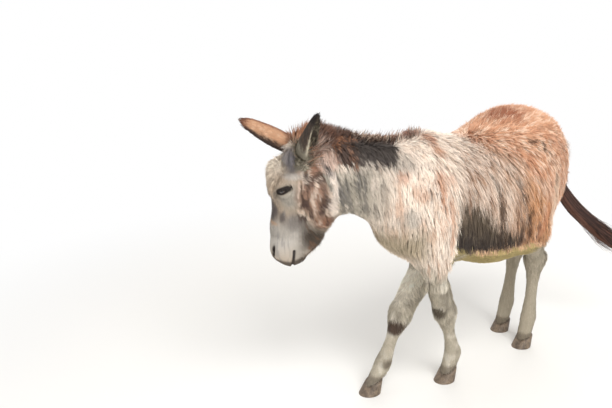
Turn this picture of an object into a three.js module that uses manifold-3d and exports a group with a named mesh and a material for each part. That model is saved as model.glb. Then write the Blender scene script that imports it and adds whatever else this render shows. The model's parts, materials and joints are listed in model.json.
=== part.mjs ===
// A life-size donkey, walking with its head low: spotted, shaggy, rump higher than withers.
// The flesh is one smooth solid, a distance field blended from bones and muscles. It is cut into
// named parts by planes with a thin gap. Millimetres, +Z up, the donkey faces -X, its left is -Y.
import * as THREE from 'three';
import { mergeVertices } from 'three/addons/utils/BufferGeometryUtils.js';
import Module from 'manifold-3d';

const wasm = await Module();
wasm.setup();

// Driving dimensions of the animal, out to the tips of its coat.
const WITHERS = 1085;        // height at the withers
const CROUP = 1152;          // height at the top of the rump
const BELLY = 468;           // height of the lowest part of the belly
const EYE_RADIUS = 19;
const HOOF_HEIGHT = 48;      // sole to coronet at the front of the wall
const GAP = 0.3;             // between solids that meet

// Blending radii of the flesh.
const SOFT = 90;             // between the large masses
const FIRM = 30;             // at the joints of the legs and on the head

// ---- vectors -------------------------------------------------------------------------------

const at = (x, y, z) => new THREE.Vector3(x, y, z);

// The two sides of the body, as signs of Y.
const SIDES = { left: -1, right: 1 };

// ---- distance fields -----------------------------------------------------------------------

/** Joins two distances with a round blend of the given radius. */
function blend(a, b, radius) {
  const overlap = Math.max(radius - Math.abs(a - b), 0) / radius;
  return Math.min(a, b) - overlap * overlap * radius / 4;
}

/** Joins any number of fields with one blending radius. */
function blended(radius, fields) {
  return (p) => fields.reduce((sum, field) => blend(sum, field(p), radius), 1e4);
}

/** Distance to an ellipse's or ellipsoid's surface from offsets and radii given pairwise. */
function roundDistance(offsets, radii) {
  let near = 0;
  let far = 0;
  for (let i = 0; i < offsets.length; i += 1) {
    const share = offsets[i] / radii[i];
    near += share * share;
    far += (share / radii[i]) * (share / radii[i]);
  }
  if (far < 1e-12) return -Math.min(...radii);
  const k = Math.sqrt(near);
  return k * (k - 1) / Math.sqrt(far);
}

/** An ellipsoid with its own axes: [length axis, width axis], the third is their cross product. */
function muscle(center, radii, long = at(1, 0, 0), wide = at(0, 1, 0)) {
  const a = long.clone().normalize();
  const b = wide.clone().addScaledVector(a, -wide.dot(a)).normalize();
  const c = a.clone().cross(b);
  const q = at(0, 0, 0);
  return (p) => {
    q.subVectors(p, center);
    return roundDistance([q.dot(a), q.dot(b), q.dot(c)], radii);
  };
}

/**
 * A chain of tapered links. Each joint is [point, deep, wide]: its radius fore and aft and its
 * radius along the wide axis.
 */
function chain(joints, wide = at(0, 1, 0), radius = 0) {
  const links = joints.slice(1).map(([end, deepEnd, wideEnd], i) => {
    const [start, deepStart, wideStart] = joints[i];
    const along = end.clone().sub(start);
    const across = wide.clone().addScaledVector(along, -wide.dot(along) / along.lengthSq());
    across.normalize();
    const q = at(0, 0, 0);
    return (p) => {
      q.subVectors(p, start);
      const t = THREE.MathUtils.clamp(q.dot(along) / along.lengthSq(), 0, 1);
      q.addScaledVector(along, -t);
      const side = q.dot(across);
      const rest = Math.sqrt(Math.max(q.lengthSq() - side * side, 0));
      const deep = THREE.MathUtils.lerp(deepStart, deepEnd, t);
      const broad = THREE.MathUtils.lerp(wideStart, wideEnd, t);
      return roundDistance([rest, side], [deep, broad]);
    };
  });
  if (radius > 0) return blended(radius, links);
  return (p) => links.reduce((least, link) => Math.min(least, link(p)), 1e4);
}

/** Value of a smooth curve through [place, value] pairs, level past its ends. */
function curveAt(knots, place) {
  const last = knots.length - 1;
  if (place <= knots[0][0]) return knots[0][1];
  if (place >= knots[last][0]) return knots[last][1];
  const i = knots.findIndex(([x]) => x > place) - 1;
  const slope = (j) => {
    if (j === 0 || j === last) return 0;
    return (knots[j + 1][1] - knots[j - 1][1]) / (knots[j + 1][0] - knots[j - 1][0]);
  };
  const span = knots[i + 1][0] - knots[i][0];
  const t = (place - knots[i][0]) / span;
  const t2 = t * t;
  const t3 = t2 * t;
  return (2 * t3 - 3 * t2 + 1) * knots[i][1] + (t3 - 2 * t2 + t) * span * slope(i)
    + (3 * t2 - 2 * t3) * knots[i + 1][1] + (t3 - t2) * span * slope(i + 1);
}

// ---- trunk ---------------------------------------------------------------------------------

/** The barrel: egg-shaped sections along the body, widest below mid-height. */
function barrel() {
  const front = -300;
  const back = 390;
  const roundOff = 165;
  const top = [[-300, WITHERS - 40], [-175, WITHERS - 30], [-75, WITHERS - 18], [40, WITHERS + 16],
    [175, WITHERS + 58], [300, CROUP - 16], [390, CROUP - 50]];
  const bottom = [[-300, BELLY + 112], [-130, BELLY + 66], [60, BELLY], [200, BELLY - 4],
    [300, BELLY + 34], [390, BELLY + 165]];
  const middle = [[-300, 800], [0, 770], [200, 780], [390, 860]];
  const halfWidth = [[-300, 165], [-130, 205], [60, 245], [210, 248], [390, 168]];
  return (p) => {
    const x = THREE.MathUtils.clamp(p.x, front, back);
    const center = curveAt(middle, x);
    const rise = p.z - center;
    const height = rise > 0 ? curveAt(top, x) - center : center - curveAt(bottom, x);
    return roundDistance([p.x - x, p.y, rise], [roundOff, curveAt(halfWidth, x), height]);
  };
}

/** Withers, shoulder blades, breast and brisket. */
function forehand() {
  const parts = [
    muscle(at(-280, 0, 975), [190, 62, 92], at(1, 0, 0)),
    muscle(at(-395, 5, 745), [115, 118, 130], at(1, 0, 0)),
    muscle(at(-245, 0, 652), [172, 106, 98], at(1, 0, -0.2)),
  ];
  for (const side of Object.values(SIDES)) {
    parts.push(muscle(at(-320, side * 92, 820), [215, 80, 105], at(-0.3, 0, 1), at(0, 1, 0)));
    parts.push(muscle(at(-375, side * 88, 705), [100, 66, 82], at(0, 0, 1), at(0, 1, 0)));
  }
  return blended(60, parts);
}

/** Croup, haunches and buttocks. */
function haunches() {
  const parts = [muscle(at(335, 0, 985), [205, 155, 150], at(1, 0, -0.2))];
  for (const side of Object.values(SIDES)) {
    parts.push(muscle(at(330, side * 92, 872), [184, 97, 205], at(1, 0, -0.1)));
    parts.push(muscle(at(452, side * 66, 862), [84, 58, 160], at(1, 0, 0)));
    parts.push(muscle(at(272, side * 136, 650), [90, 60, 150], at(0.9, 0, 0.25)));
  }
  return blended(60, parts);
}

// ---- legs ----------------------------------------------------------------------------------

// Each leg's joints from the body down (hip or shoulder, elbow or stifle, knee or hock, fetlock),
// the center of its sole, and its radii [fore and aft, across] at shoulder, elbow, knee, cannon,
// fetlock and foot.
const HIND_SIZES = [[96, 74], [80, 60], [52, 42], [34, 29], [41, 36], [38, 36]];
const LEGS = {
  foreleg_left: {
    joints: [at(-358, -110, 740), at(-366, -122, 592), at(-232, -86, 345), at(-150, -78, 130)],
    sole: at(-180, -64, 0),
    sizes: [[86, 60], [60, 54], [47, 42], [31, 28], [40, 35], [37, 35]],
    fore: true,
  },
  foreleg_right: {
    joints: [at(-280, 90, 720), at(-152, 78, 556), at(-362, 42, 324), at(-436, 60, 118)],
    sole: at(-505, 66, 0),
    sizes: [[80, 62], [66, 56], [49, 44], [31, 28], [40, 35], [37, 35]],
    forearm: [at(-214, 56, 448), [104, 74, 46], at(0.5, 0, 1), at(1, 0, -0.5)],
    fore: true,
  },
  hindleg_left: {
    joints: [at(342, -112, 780), at(292, -130, 612), at(410, -92, 440), at(404, -90, 145)],
    sole: at(362, -90, 0),
    sizes: HIND_SIZES,
    fore: false,
  },
  hindleg_right: {
    joints: [at(385, 112, 780), at(345, 126, 605), at(522, 90, 428), at(484, 86, 145)],
    sole: at(436, 84, 0),
    sizes: HIND_SIZES,
    fore: false,
  },
};

/** The point where the pastern enters the hoof, above and behind the sole's center. */
const coronet = (leg) => leg.sole.clone().add(at(20, 0, HOOF_HEIGHT - 2));

function legField(leg) {
  const [hip, elbow, knee, fetlock] = leg.joints;
  const { sizes } = leg;
  const belowKnee = knee.clone().lerp(fetlock, 0.3);
  const aboveFetlock = knee.clone().lerp(fetlock, 0.8);
  const foot = coronet(leg).clone().lerp(leg.sole, 0.6);
  const upper = chain([[hip, ...sizes[0]], [elbow, ...sizes[1]], [knee, ...sizes[2]]], at(0, 1, 0), 40);
  const joint = muscle(knee, [leg.fore ? 62 : 74, leg.fore ? 48 : 44, leg.fore ? 50 : 52],
    knee.clone().sub(fetlock), at(0, 1, 0));
  const lower = chain([[knee, sizes[2][0] - 6, sizes[2][1] - 4], [belowKnee, ...sizes[3]],
    [aboveFetlock, sizes[3][0] - 1, sizes[3][1]], [fetlock, ...sizes[4]], [foot, ...sizes[5]]],
    at(0, 1, 0), 16);
  const parts = [upper, joint, lower];
  if (leg.forearm) parts.push(muscle(...leg.forearm));
  if (!leg.fore) {
    const heel = knee.clone().add(at(38, 0, 52));
    parts.push(chain([[heel, 22, 20], [knee.clone().add(at(14, 0, -20)), 30, 24]]));
  }
  return blended(FIRM, parts);
}

// ---- neck and head -------------------------------------------------------------------------

// The head hangs straight down and is turned to the animal's right, so it has its own frame:
// front, down and left unit vectors with the origin at the crown.
const HEAD_YAW = THREE.MathUtils.degToRad(39);
const HEAD_LEAN = THREE.MathUtils.degToRad(10);
const CROWN = at(-800, 130, 1050);
const FRONT = at(-Math.cos(HEAD_YAW), Math.sin(HEAD_YAW), 0);
const DOWN = at(Math.sin(HEAD_YAW) * Math.sin(HEAD_LEAN), Math.cos(HEAD_YAW) * Math.sin(HEAD_LEAN),
  -Math.cos(HEAD_LEAN));
const LEFT = DOWN.clone().cross(FRONT).negate();

/** A point of the head from its front, down and left coordinates. */
function onHead(front, down, left) {
  const p = CROWN.clone().addScaledVector(FRONT, front);
  return p.addScaledVector(DOWN, down).addScaledVector(LEFT, left);
}

/** A muscle in head axes: radii are front, left, down. */
function headMass(center, radii, tilt = 0) {
  const long = FRONT.clone().addScaledVector(DOWN, tilt);
  return muscle(onHead(...center), radii, long, LEFT);
}

function headField() {
  const nose = [[onHead(63, 150, 0), 66, 66], [onHead(82, 300, 0), 52, 47], [onHead(84, 390, 0), 52, 48]];
  const jaw = [[onHead(-44, 215, 0), 66, 54], [onHead(-6, 330, 0), 46, 38], [onHead(22, 415, 0), 30, 30]];
  const skull = [
    headMass([48, 105, 0], [90, 84, 112]),
    chain(nose, LEFT, FIRM),
    chain(jaw, LEFT, FIRM),
    headMass([80, 394, 0], [52, 50, 62]),
    headMass([63, 438, 0], [25, 34, 38]),
    headMass([30, 426, 0], [24, 30, 34]),
    headMass([112, 92, 0], [26, 52, 58]),
    headMass([2, -22, 0], [46, 52, 46]),
  ];
  for (const side of [-1, 1]) {
    skull.push(headMass([-42, 170, side * 34], [84, 44, 118], 0.12));
    skull.push(headMass([78, 118, side * 62], [33, 26, 35]));
    skull.push(headMass([103, 390, side * 33], [22, 18, 32]));
  }
  return blended(FIRM, skull);
}

function neckField() {
  const links = chain([
    [at(-300, 0, 850), 210, 128],
    [at(-450, 18, 905), 172, 98],
    [at(-600, 62, 955), 142, 84],
    [at(-715, 100, 985), 118, 82],
  ], at(0, 1, 0), 60);
  const nape = chain([[at(-715, 100, 975), 120, 80], [onHead(10, 85, 0), 80, 72]], at(0.4, 1, 0), 0);
  const maneTuft = muscle(at(-688, 110, 1099), [68, 36, 66], at(1, -0.45, -0.1));
  const pollTuft = muscle(at(-820, 122, 1085), [92, 44, 56], at(1, -0.45, 0));
  const crest = chain([
    [at(-590, 62, 1048), 34, 26],
    [at(-430, 20, 1040), 30, 24],
    [at(-320, 0, 1068), 38, 28],
  ]);
  return blended(50, [links, nape, maneTuft, pollTuft, crest]);
}

// ---- the whole animal ----------------------------------------------------------------------

const BARREL = barrel();
const FOREHAND = forehand();
const HAUNCHES = haunches();
const NECK = neckField();
const HEAD = headField();
const LEG_FIELDS = Object.fromEntries(Object.entries(LEGS).map(([name, leg]) => [name, legField(leg)]));

/** Distance to the surface of the trunk, neck and head, with the given legs. */
function bodyWith(legs) {
  return (p) => {
    let d = blend(BARREL(p), FOREHAND(p), SOFT);
    d = blend(d, HAUNCHES(p), SOFT);
    d = blend(d, blend(NECK(p), HEAD(p), 45), SOFT);
    for (const name of legs) d = blend(d, LEG_FIELDS[name](p), 45);
    return d;
  };
}

const flesh = bodyWith(Object.keys(LEGS));

// ---- solids --------------------------------------------------------------------------------

/** A geometry from flat lists of coordinates and of triangle corners. */
function indexed(positions, triangles) {
  const geometry = new THREE.BufferGeometry();
  geometry.setAttribute('position', new THREE.Float32BufferAttribute(positions, 3));
  geometry.setIndex(triangles);
  return geometry;
}

/** A closed solid from a geometry. */
function solidOf(geometry) {
  const bare = geometry.clone();
  for (const name of Object.keys(bare.attributes)) if (name !== 'position') bare.deleteAttribute(name);
  const merged = mergeVertices(bare, 1e-3);
  const vertProperties = new Float32Array(merged.attributes.position.array);
  const triVerts = new Uint32Array(merged.index.array);
  return new wasm.Manifold(new wasm.Mesh({ numProp: 3, vertProperties, triVerts }));
}

/** Slope of a field at a point, by differences. */
function slopeOf(field, p) {
  const step = 0.5;
  const q = p.clone();
  const axisSlope = (axis) => {
    q.copy(p);
    q[axis] += step;
    const ahead = field(q);
    q[axis] -= 2 * step;
    return (ahead - field(q)) / (2 * step);
  };
  return at(axisSlope('x'), axisSlope('y'), axisSlope('z'));
}

// Corners of a grid cell as offsets, and its twelve edges as pairs of corners.
const CORNERS = [0, 1, 2, 3, 4, 5, 6, 7].map((n) => [n & 1, (n >> 1) & 1, n >> 2]);
const EDGES = CORNERS.flatMap((a) => [0, 1, 2].filter((axis) => a[axis] === 0)
  .map((axis) => [a, a.map((side, other) => (other === axis ? 1 : side))]));

/** A field closed by the walls of a box. */
function boxed(field, box) {
  const halfSize = box.getSize(at(0, 0, 0)).multiplyScalar(0.5);
  const center = box.getCenter(at(0, 0, 0));
  return (p) => Math.max(field(p), Math.abs(p.x - center.x) - halfSize.x,
    Math.abs(p.y - center.y) - halfSize.y, Math.abs(p.z - center.z) - halfSize.z);
}

/** A regular grid over a box, one cell larger on each side, with a field's value at each node. */
function gridOver(field, box, cell) {
  const size = box.getSize(at(0, 0, 0));
  const count = ['x', 'y', 'z'].map((axis) => Math.ceil(size[axis] / cell[axis]) + 3);
  const origin = box.min.clone().addScaledVector(cell, -1.35);
  const place = (i, j, k) => at(i, j, k).multiply(cell).add(origin);
  const index = (i, j, k) => i + count[0] * (j + count[1] * k);
  const values = new Float64Array(count[0] * count[1] * count[2]);
  for (let k = 0; k < count[2]; k += 1) {
    for (let j = 0; j < count[1]; j += 1) {
      for (let i = 0; i < count[0]; i += 1) values[index(i, j, k)] = field(place(i, j, k));
    }
  }
  return { count, place, index, values };
}

/**
 * The surface's vertex in one grid cell, or null where the surface doesn't cross the cell. It is
 * moved onto the surface and stays a margin inside the cell, so that no two vertices meet.
 */
function cellVertex(field, grid, i, j, k) {
  const margin = 0.06;
  const sum = at(0, 0, 0);
  let crossings = 0;
  for (const [a, b] of EDGES) {
    const start = grid.values[grid.index(i + a[0], j + a[1], k + a[2])];
    const end = grid.values[grid.index(i + b[0], j + b[1], k + b[2])];
    if ((start < 0) !== (end < 0)) {
      const p = grid.place(i + a[0], j + a[1], k + a[2]);
      sum.add(p.lerp(grid.place(i + b[0], j + b[1], k + b[2]), start / (start - end)));
      crossings += 1;
    }
  }
  if (crossings === 0) return null;
  const p = sum.divideScalar(crossings);
  const low = grid.place(i + margin, j + margin, k + margin);
  const high = grid.place(i + 1 - margin, j + 1 - margin, k + 1 - margin);
  for (let pass = 0; pass < 3; pass += 1) {
    const slope = slopeOf(field, p);
    p.addScaledVector(slope, -field(p) / Math.max(slope.lengthSq(), 0.2)).clamp(low, high);
  }
  return p;
}

/**
 * Skins a field inside a box: one vertex for each grid cell that the surface crosses, and one
 * quad round each grid edge that it crosses.
 */
function skinned(openField, box, cell) {
  const field = boxed(openField, box);
  const grid = gridOver(field, box, cell);
  const { count: [nx, ny, nz], index, values } = grid;
  const positions = [];
  const vertexOf = new Int32Array(values.length).fill(-1);
  for (let k = 0; k < nz - 1; k += 1) {
    for (let j = 0; j < ny - 1; j += 1) {
      for (let i = 0; i < nx - 1; i += 1) {
        const p = cellVertex(field, grid, i, j, k);
        if (p) {
          vertexOf[index(i, j, k)] = positions.length / 3;
          positions.push(p.x, p.y, p.z);
        }
      }
    }
  }
  const triangles = [];
  const quad = (a, b, c, d, flip) => {
    const [v0, v1, v2, v3] = (flip ? [a, d, c, b] : [a, b, c, d]).map((place) => vertexOf[place]);
    triangles.push(v0, v1, v2, v0, v2, v3);
  };
  for (let k = 1; k < nz - 1; k += 1) {
    for (let j = 1; j < ny - 1; j += 1) {
      for (let i = 1; i < nx - 1; i += 1) {
        const here = values[index(i, j, k)] < 0;
        if (here !== values[index(i + 1, j, k)] < 0) {
          quad(index(i, j - 1, k - 1), index(i, j, k - 1), index(i, j, k), index(i, j - 1, k), !here);
        }
        if (here !== values[index(i, j + 1, k)] < 0) {
          quad(index(i - 1, j, k - 1), index(i - 1, j, k), index(i, j, k), index(i, j, k - 1), !here);
        }
        if (here !== values[index(i, j, k + 1)] < 0) {
          quad(index(i - 1, j - 1, k), index(i, j - 1, k), index(i, j, k), index(i - 1, j, k), !here);
        }
      }
    }
  }
  return solidOf(indexed(positions, triangles));
}

/** A box solid from its two corners. */
function block(low, high) {
  const size = high.clone().sub(low);
  const geometry = new THREE.BoxGeometry(size.x, size.y, size.z);
  const center = low.clone().add(high).multiplyScalar(0.5);
  return solidOf(geometry.translate(center.x, center.y, center.z));
}

/** The part of a solid on the side that a plane's normal points to, set back by half the gap. */
function keep(solid, point, normal) {
  const reach = 1500;
  const unit = normal.clone().normalize();
  const geometry = new THREE.BoxGeometry(2 * reach, 2 * reach, reach);
  geometry.translate(0, 0, reach / 2 + GAP / 2);
  geometry.applyQuaternion(new THREE.Quaternion().setFromUnitVectors(at(0, 0, 1), unit));
  geometry.translate(point.x, point.y, point.z);
  return solid.intersect(solidOf(geometry));
}

/** A closed loft through rings of points that all have the same count, capped at both ends. */
function loft(rings) {
  const sides = rings[0].length;
  const positions = rings.flatMap((ring) => ring.flatMap((p) => [p.x, p.y, p.z]));
  const triangles = [];
  for (let r = 0; r < rings.length - 1; r += 1) {
    for (let s = 0; s < sides; s += 1) {
      const a = r * sides + s;
      const b = r * sides + (s + 1) % sides;
      triangles.push(a, b, b + sides, a, b + sides, a + sides);
    }
  }
  for (const [ring, flip] of [[0, true], [rings.length - 1, false]]) {
    const middle = rings[ring].reduce((sum, p) => sum.add(p), at(0, 0, 0)).divideScalar(sides);
    const hub = positions.length / 3;
    positions.push(middle.x, middle.y, middle.z);
    for (let s = 0; s < sides; s += 1) {
      const a = ring * sides + s;
      const b = ring * sides + (s + 1) % sides;
      triangles.push(...(flip ? [hub, b, a] : [hub, a, b]));
    }
  }
  return solidOf(indexed(positions, triangles));
}

/** Distance from a center out to a field's surface along a direction. */
function reachOf(field, center, direction) {
  const stride = 4;
  const p = at(0, 0, 0);
  const value = (distance) => field(p.copy(center).addScaledVector(direction, distance));
  let outside = stride;
  while (value(outside) < 0) outside += stride;
  let inside = outside - stride;
  for (let halving = 0; halving < 12; halving += 1) {
    const middle = (inside + outside) / 2;
    if (value(middle) < 0) inside = middle;
    else outside = middle;
  }
  return (inside + outside) / 2;
}

/** A limb skinned by level rings of the field's surface, round the line through its joints. */
function limb(field, joints, low, high, ringCount, sides) {
  const knots = (axis) => joints.map((joint) => [joint.z, joint[axis]]).sort((a, b) => a[0] - b[0]);
  const rings = [];
  for (let n = 0; n < ringCount; n += 1) {
    const z = THREE.MathUtils.lerp(low, high, n / (ringCount - 1));
    const center = at(curveAt(knots('x'), z), curveAt(knots('y'), z), z);
    rings.push(Array.from({ length: sides }, (_, s) => {
      const angle = 2 * Math.PI * s / sides;
      const direction = at(Math.cos(angle), Math.sin(angle), 0);
      return center.clone().addScaledVector(direction, reachOf(field, center, direction));
    }));
  }
  return loft(rings);
}

// ---- hooves --------------------------------------------------------------------------------

const CORONET_TILT = THREE.MathUtils.degToRad(22);
const HOOF_SOLE = [52, 43];      // half length and half width of the sole
const HOOF_TOP = [40, 38];       // and of the coronet
const HOOF_SIDES = 16;

/** The plane of the coronet: its point and its upward normal, leaning to the toe. */
function coronetPlane(leg) {
  return { point: coronet(leg), normal: at(-Math.sin(CORONET_TILT), 0, Math.cos(CORONET_TILT)) };
}

/** One hoof: a wall that widens down to a flat sole, with an upright, boxy donkey's shape. */
function hoof(leg) {
  const { point } = coronetPlane(leg);
  const rings = [0, 0.12, 0.5, 1].map((rise) => {
    const ring = [];
    const flare = rise === 0 ? 0.97 : 1;
    for (let s = 0; s < HOOF_SIDES; s += 1) {
      const angle = 2 * Math.PI * s / HOOF_SIDES;
      const long = THREE.MathUtils.lerp(HOOF_SOLE[0], HOOF_TOP[0], rise) * flare;
      const broad = THREE.MathUtils.lerp(HOOF_SOLE[1], HOOF_TOP[1], rise) * flare;
      const heel = 1 - 0.12 * Math.max(Math.cos(angle), 0) ** 3;
      const dx = long * Math.cos(angle) * heel;
      const x = THREE.MathUtils.lerp(leg.sole.x, point.x, rise) + dx;
      const y = THREE.MathUtils.lerp(leg.sole.y, point.y, rise) + broad * Math.sin(angle);
      const lift = Math.tan(CORONET_TILT) * dx;
      ring.push(at(x, y, rise * (point.z + lift - GAP)));
    }
    return ring;
  });
  return loft(rings);
}

// ---- ears ----------------------------------------------------------------------------------

// Half width of an ear from its root to its tip, as shares of its length, and how far round the
// cartilage wraps: almost a tube at the root, a shallow trough near the tip.
const EAR_WIDTH = [[0, 34], [0.16, 42], [0.35, 49], [0.55, 51], [0.77, 42], [0.92, 30], [1, 13]];
const EAR_WRAP = [[0, 150], [0.2, 122], [0.4, 96], [0.7, 76], [1, 60]];
const EAR_THICKNESS = [[0, 10], [1, 5]];

/**
 * One ear: a deep cupped leaf that grows from its root along a bowed line to the tip. Its hollow
 * faces the open direction, and slim scales its width. With grow, it is instead the ear's full outer
 * form, wider by that much.
 */
function ear({ root, tip, open, bow, slim }, grow = 0) {
  const along = tip.clone().sub(root);
  const unit = along.clone().normalize();
  const hollow = open.clone().addScaledVector(unit, -open.dot(unit)).normalize();
  const across = hollow.clone().cross(unit);
  const stations = 12;
  const arcSteps = 7;
  const rings = [];
  for (let n = 0; n < stations; n += 1) {
    const t = n / (stations - 1);
    const wrap = THREE.MathUtils.degToRad(curveAt(EAR_WRAP, t));
    const spread = slim * curveAt(EAR_WIDTH, t) / Math.sin(Math.min(wrap, Math.PI / 2));
    const center = root.clone().addScaledVector(along, t).addScaledVector(bow, Math.sin(Math.PI * t));
    if (n === 0) center.addScaledVector(unit, -grow);
    const arc = (radius) => Array.from({ length: arcSteps + 1 }, (_, s) => {
      const angle = wrap * (2 * s / arcSteps - 1);
      return center.clone().addScaledVector(across, radius * Math.sin(angle))
        .addScaledVector(hollow, spread * (1 + Math.cos(wrap)) / 2 - radius * Math.cos(angle));
    });
    const inner = arc(Math.max(spread - curveAt(EAR_THICKNESS, t), 1));
    rings.push(grow > 0 ? arc(spread + grow) : [...arc(spread), ...inner.reverse()]);
  }
  return loft(rings);
}

// The left ear stands up, the right one points forward.
const EARS = {
  ear_left: {
    root: onHead(20, 34, 52),
    tip: at(-904, -46, 1204),
    open: at(0.42, -0.88, 0),
    bow: at(-8, -3, 0),
    slim: 1.1,
  },
  ear_right: {
    root: onHead(6, 18, -42),
    tip: at(-918, 368, 1153),
    open: at(0.45, 0.6, -0.65),
    bow: at(0, 0, 4),
    slim: 0.8,
  },
};

// ---- tail ----------------------------------------------------------------------------------

// The tail's line with its half breadths: the dock hangs behind the rump, the long hair of the
// switch is blown back and to the left.
const TAIL = [
  [at(530, -10, 1000), 34, 38],
  [at(606, -50, 955), 33, 36],
  [at(648, -42, 850), 27, 30],
  [at(656, -56, 716), 24, 27],
  [at(706, -100, 634), 27, 34],
  [at(780, -150, 556), 27, 42],
  [at(862, -212, 470), 22, 30],
  [at(925, -262, 400), 9, 12],
];

/** The whole tail as a loft of ellipses along a smooth line, wider by grow. */
function wholeTail(grow = 0) {
  const stations = 15;
  const sides = 12;
  const line = new THREE.CatmullRomCurve3(TAIL.map(([point]) => point));
  const rings = [];
  for (let n = 0; n < stations; n += 1) {
    const t = n / (stations - 1);
    const place = t * (TAIL.length - 1);
    const tangent = line.getTangent(t);
    const wide = at(0.3, 0.9, 0.1).addScaledVector(tangent, -at(0.3, 0.9, 0.1).dot(tangent)).normalize();
    const deep = tangent.clone().cross(wide);
    const breadth = (which) => curveAt(TAIL.map((knot, i) => [i, knot[which]]), place);
    const center = line.getPoint(t).addScaledVector(tangent, n === 0 ? -grow : 0);
    rings.push(Array.from({ length: sides }, (_, s) => {
      const angle = 2 * Math.PI * s / sides;
      return center.clone().addScaledVector(wide, (breadth(1) + grow) * Math.cos(angle))
        .addScaledVector(deep, (breadth(2) + grow) * Math.sin(angle));
    }));
  }
  return loft(rings);
}

// ---- parting and assembly ------------------------------------------------------------------

const boxOf = (x0, x1, y0, y1, z0, z1) => new THREE.Box3(at(x0, y0, z0), at(x1, y1, z1));

// Where the parts meet: a point of each plane and its normal, which points into the first part.
const CUTS = {
  head: [at(-757, 95, 960), at(-0.72, 0.42, -0.42)],
  neck: [at(-425, 0, 880), at(-0.93, 0.1, 0.28)],
  hind: [at(300, 0, 800), at(1, 0, 0)],
  dock: [at(655, -52, 745), at(0, 0.3, 1)],
};
const FORE_TOP = 516;
const HIND_TOP = 480;
const FORE_BACK = -110;     // rear limit of the cut above the forelegs
const HIND_FRONT = 272;     // front limit of the cut above the hindlegs

function opposite([point, normal]) {
  return [point, normal.clone().negate()];
}

const LOOKS = {
  coat: { color: '#c9b7a3', roughness: 0.95 },
  rust: { color: '#a8704c', roughness: 0.95 },
  legs: { color: '#b9b0a6', roughness: 0.95 },
  dark: { color: '#3f2c24', roughness: 0.95 },
  horn: { color: '#8b7263', roughness: 0.6 },
  eye: { color: '#17100c', roughness: 0.08 },
};

const donkey = new THREE.Group();

/** Adds one named mesh of a solid to the group. */
function addPart(name, solid, look) {
  const { vertProperties, triVerts } = solid.getMesh();
  const geometry = indexed(Array.from(vertProperties), Array.from(triVerts));
  geometry.computeVertexNormals();
  const mesh = new THREE.Mesh(geometry, new THREE.MeshStandardMaterial({ metalness: 0, ...LOOKS[look] }));
  mesh.name = name;
  donkey.add(mesh);
}

const EYES = { eye_left: 1, eye_right: -1 };
const eyeCenter = (side) => onHead(78, 118, side * 77);

function eyeball(side, radius) {
  const geometry = new THREE.SphereGeometry(radius, 10, 7);
  const center = eyeCenter(side);
  return solidOf(geometry.translate(center.x, center.y, center.z));
}

// Head: cheeks to muzzle, with a socket for each eye.
let head = skinned(flesh, boxOf(-1010, -640, -60, 400, 545, 1176), at(22, 22, 23));
head = keep(head, ...CUTS.head);
for (const side of Object.values(EYES)) head = head.subtract(eyeball(side, EYE_RADIUS + GAP));
for (const shape of Object.values(EARS)) head = head.subtract(ear(shape, GAP));
addPart('head', head, 'coat');
for (const [name, side] of Object.entries(EYES)) addPart(name, eyeball(side, EYE_RADIUS), 'eye');

// Neck with the mane's outline.
let neck = skinned(flesh, boxOf(-900, -330, -200, 330, 560, 1190), at(43, 41, 41));
neck = keep(neck, ...opposite(CUTS.head));
neck = keep(neck, ...CUTS.neck);
for (const shape of Object.values(EARS)) neck = neck.subtract(ear(shape, GAP));
addPart('neck', neck, 'coat');

// Trunk and hindquarters, down to the tops of the legs.
const body = skinned(flesh, boxOf(-620, 700, -320, 320, 440, 1200), at(66, 53, 52));
let trunk = keep(body, ...opposite(CUTS.neck));
trunk = keep(trunk, ...opposite(CUTS.hind));
trunk = trunk.subtract(block(at(-700, -400, 300), at(FORE_BACK, 400, FORE_TOP + GAP / 2)));
trunk = trunk.subtract(block(at(HIND_FRONT, -400, 300), at(800, 400, HIND_TOP + GAP / 2)));
addPart('trunk', trunk, 'coat');
let hindquarters = keep(body, ...CUTS.hind);
hindquarters = hindquarters.subtract(wholeTail(GAP));
hindquarters = hindquarters.subtract(block(at(200, -400, 300), at(800, 400, HIND_TOP + GAP / 2)));
addPart('hindquarters', hindquarters, 'rust');

// Tail: the dock with its short hair, then the long switch.
const tail = wholeTail();
addPart('tail_dock', keep(tail, ...CUTS.dock), 'rust');
addPart('tail_switch', keep(tail, ...opposite(CUTS.dock)), 'dark');

// Legs: forearm or gaskin, then cannon and pastern, then the hoof.
for (const [name, leg] of Object.entries(LEGS)) {
  const [, elbow, knee, fetlock] = leg.joints;
  const split = knee.clone().lerp(fetlock, 0.3);
  const rod = knee.clone().sub(fetlock);
  const top = leg.fore ? FORE_TOP : HIND_TOP;
  const ownFlesh = bodyWith([name]);
  const line = [elbow, knee, fetlock, coronet(leg), coronet(leg).setZ(0)];
  const high = limb(ownFlesh, line, split.z - 40, top + 3, 8, 14);
  const low = limb(ownFlesh, line, 15, split.z + 40, 13, 12);
  const { point, normal } = coronetPlane(leg);
  let upper = keep(keep(high, at(0, 0, top), at(0, 0, -1)), split, rod);
  if (leg.fore) upper = keep(upper, at(FORE_BACK, 0, 0), at(-1, 0, 0));
  else upper = keep(upper, at(HIND_FRONT, 0, 0), at(1, 0, 0));
  addPart(`${name}_upper`, upper, 'legs');
  addPart(`${name}_lower`, keep(keep(low, split, rod.clone().negate()), point, normal), 'legs');
  addPart(name.replace('leg', '_hoof'), hoof(leg), 'horn');
}

for (const [name, shape] of Object.entries(EARS)) addPart(name, ear(shape), 'rust');

// The origin is on the ground under the middle of the whole animal.
const middle = new THREE.Box3().setFromObject(donkey).getCenter(at(0, 0, 0));
donkey.position.set(-middle.x, -middle.y, 0);
donkey.updateMatrixWorld(true);
export default donkey;
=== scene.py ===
"""A life-size donkey that walks with its head low: one skin, wet eyes, horn hooves, and a shaggy
spotted coat made of thin curved tufts. Metres, +Z up; it faces -X, and its left side is -Y."""
import json
import math

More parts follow.
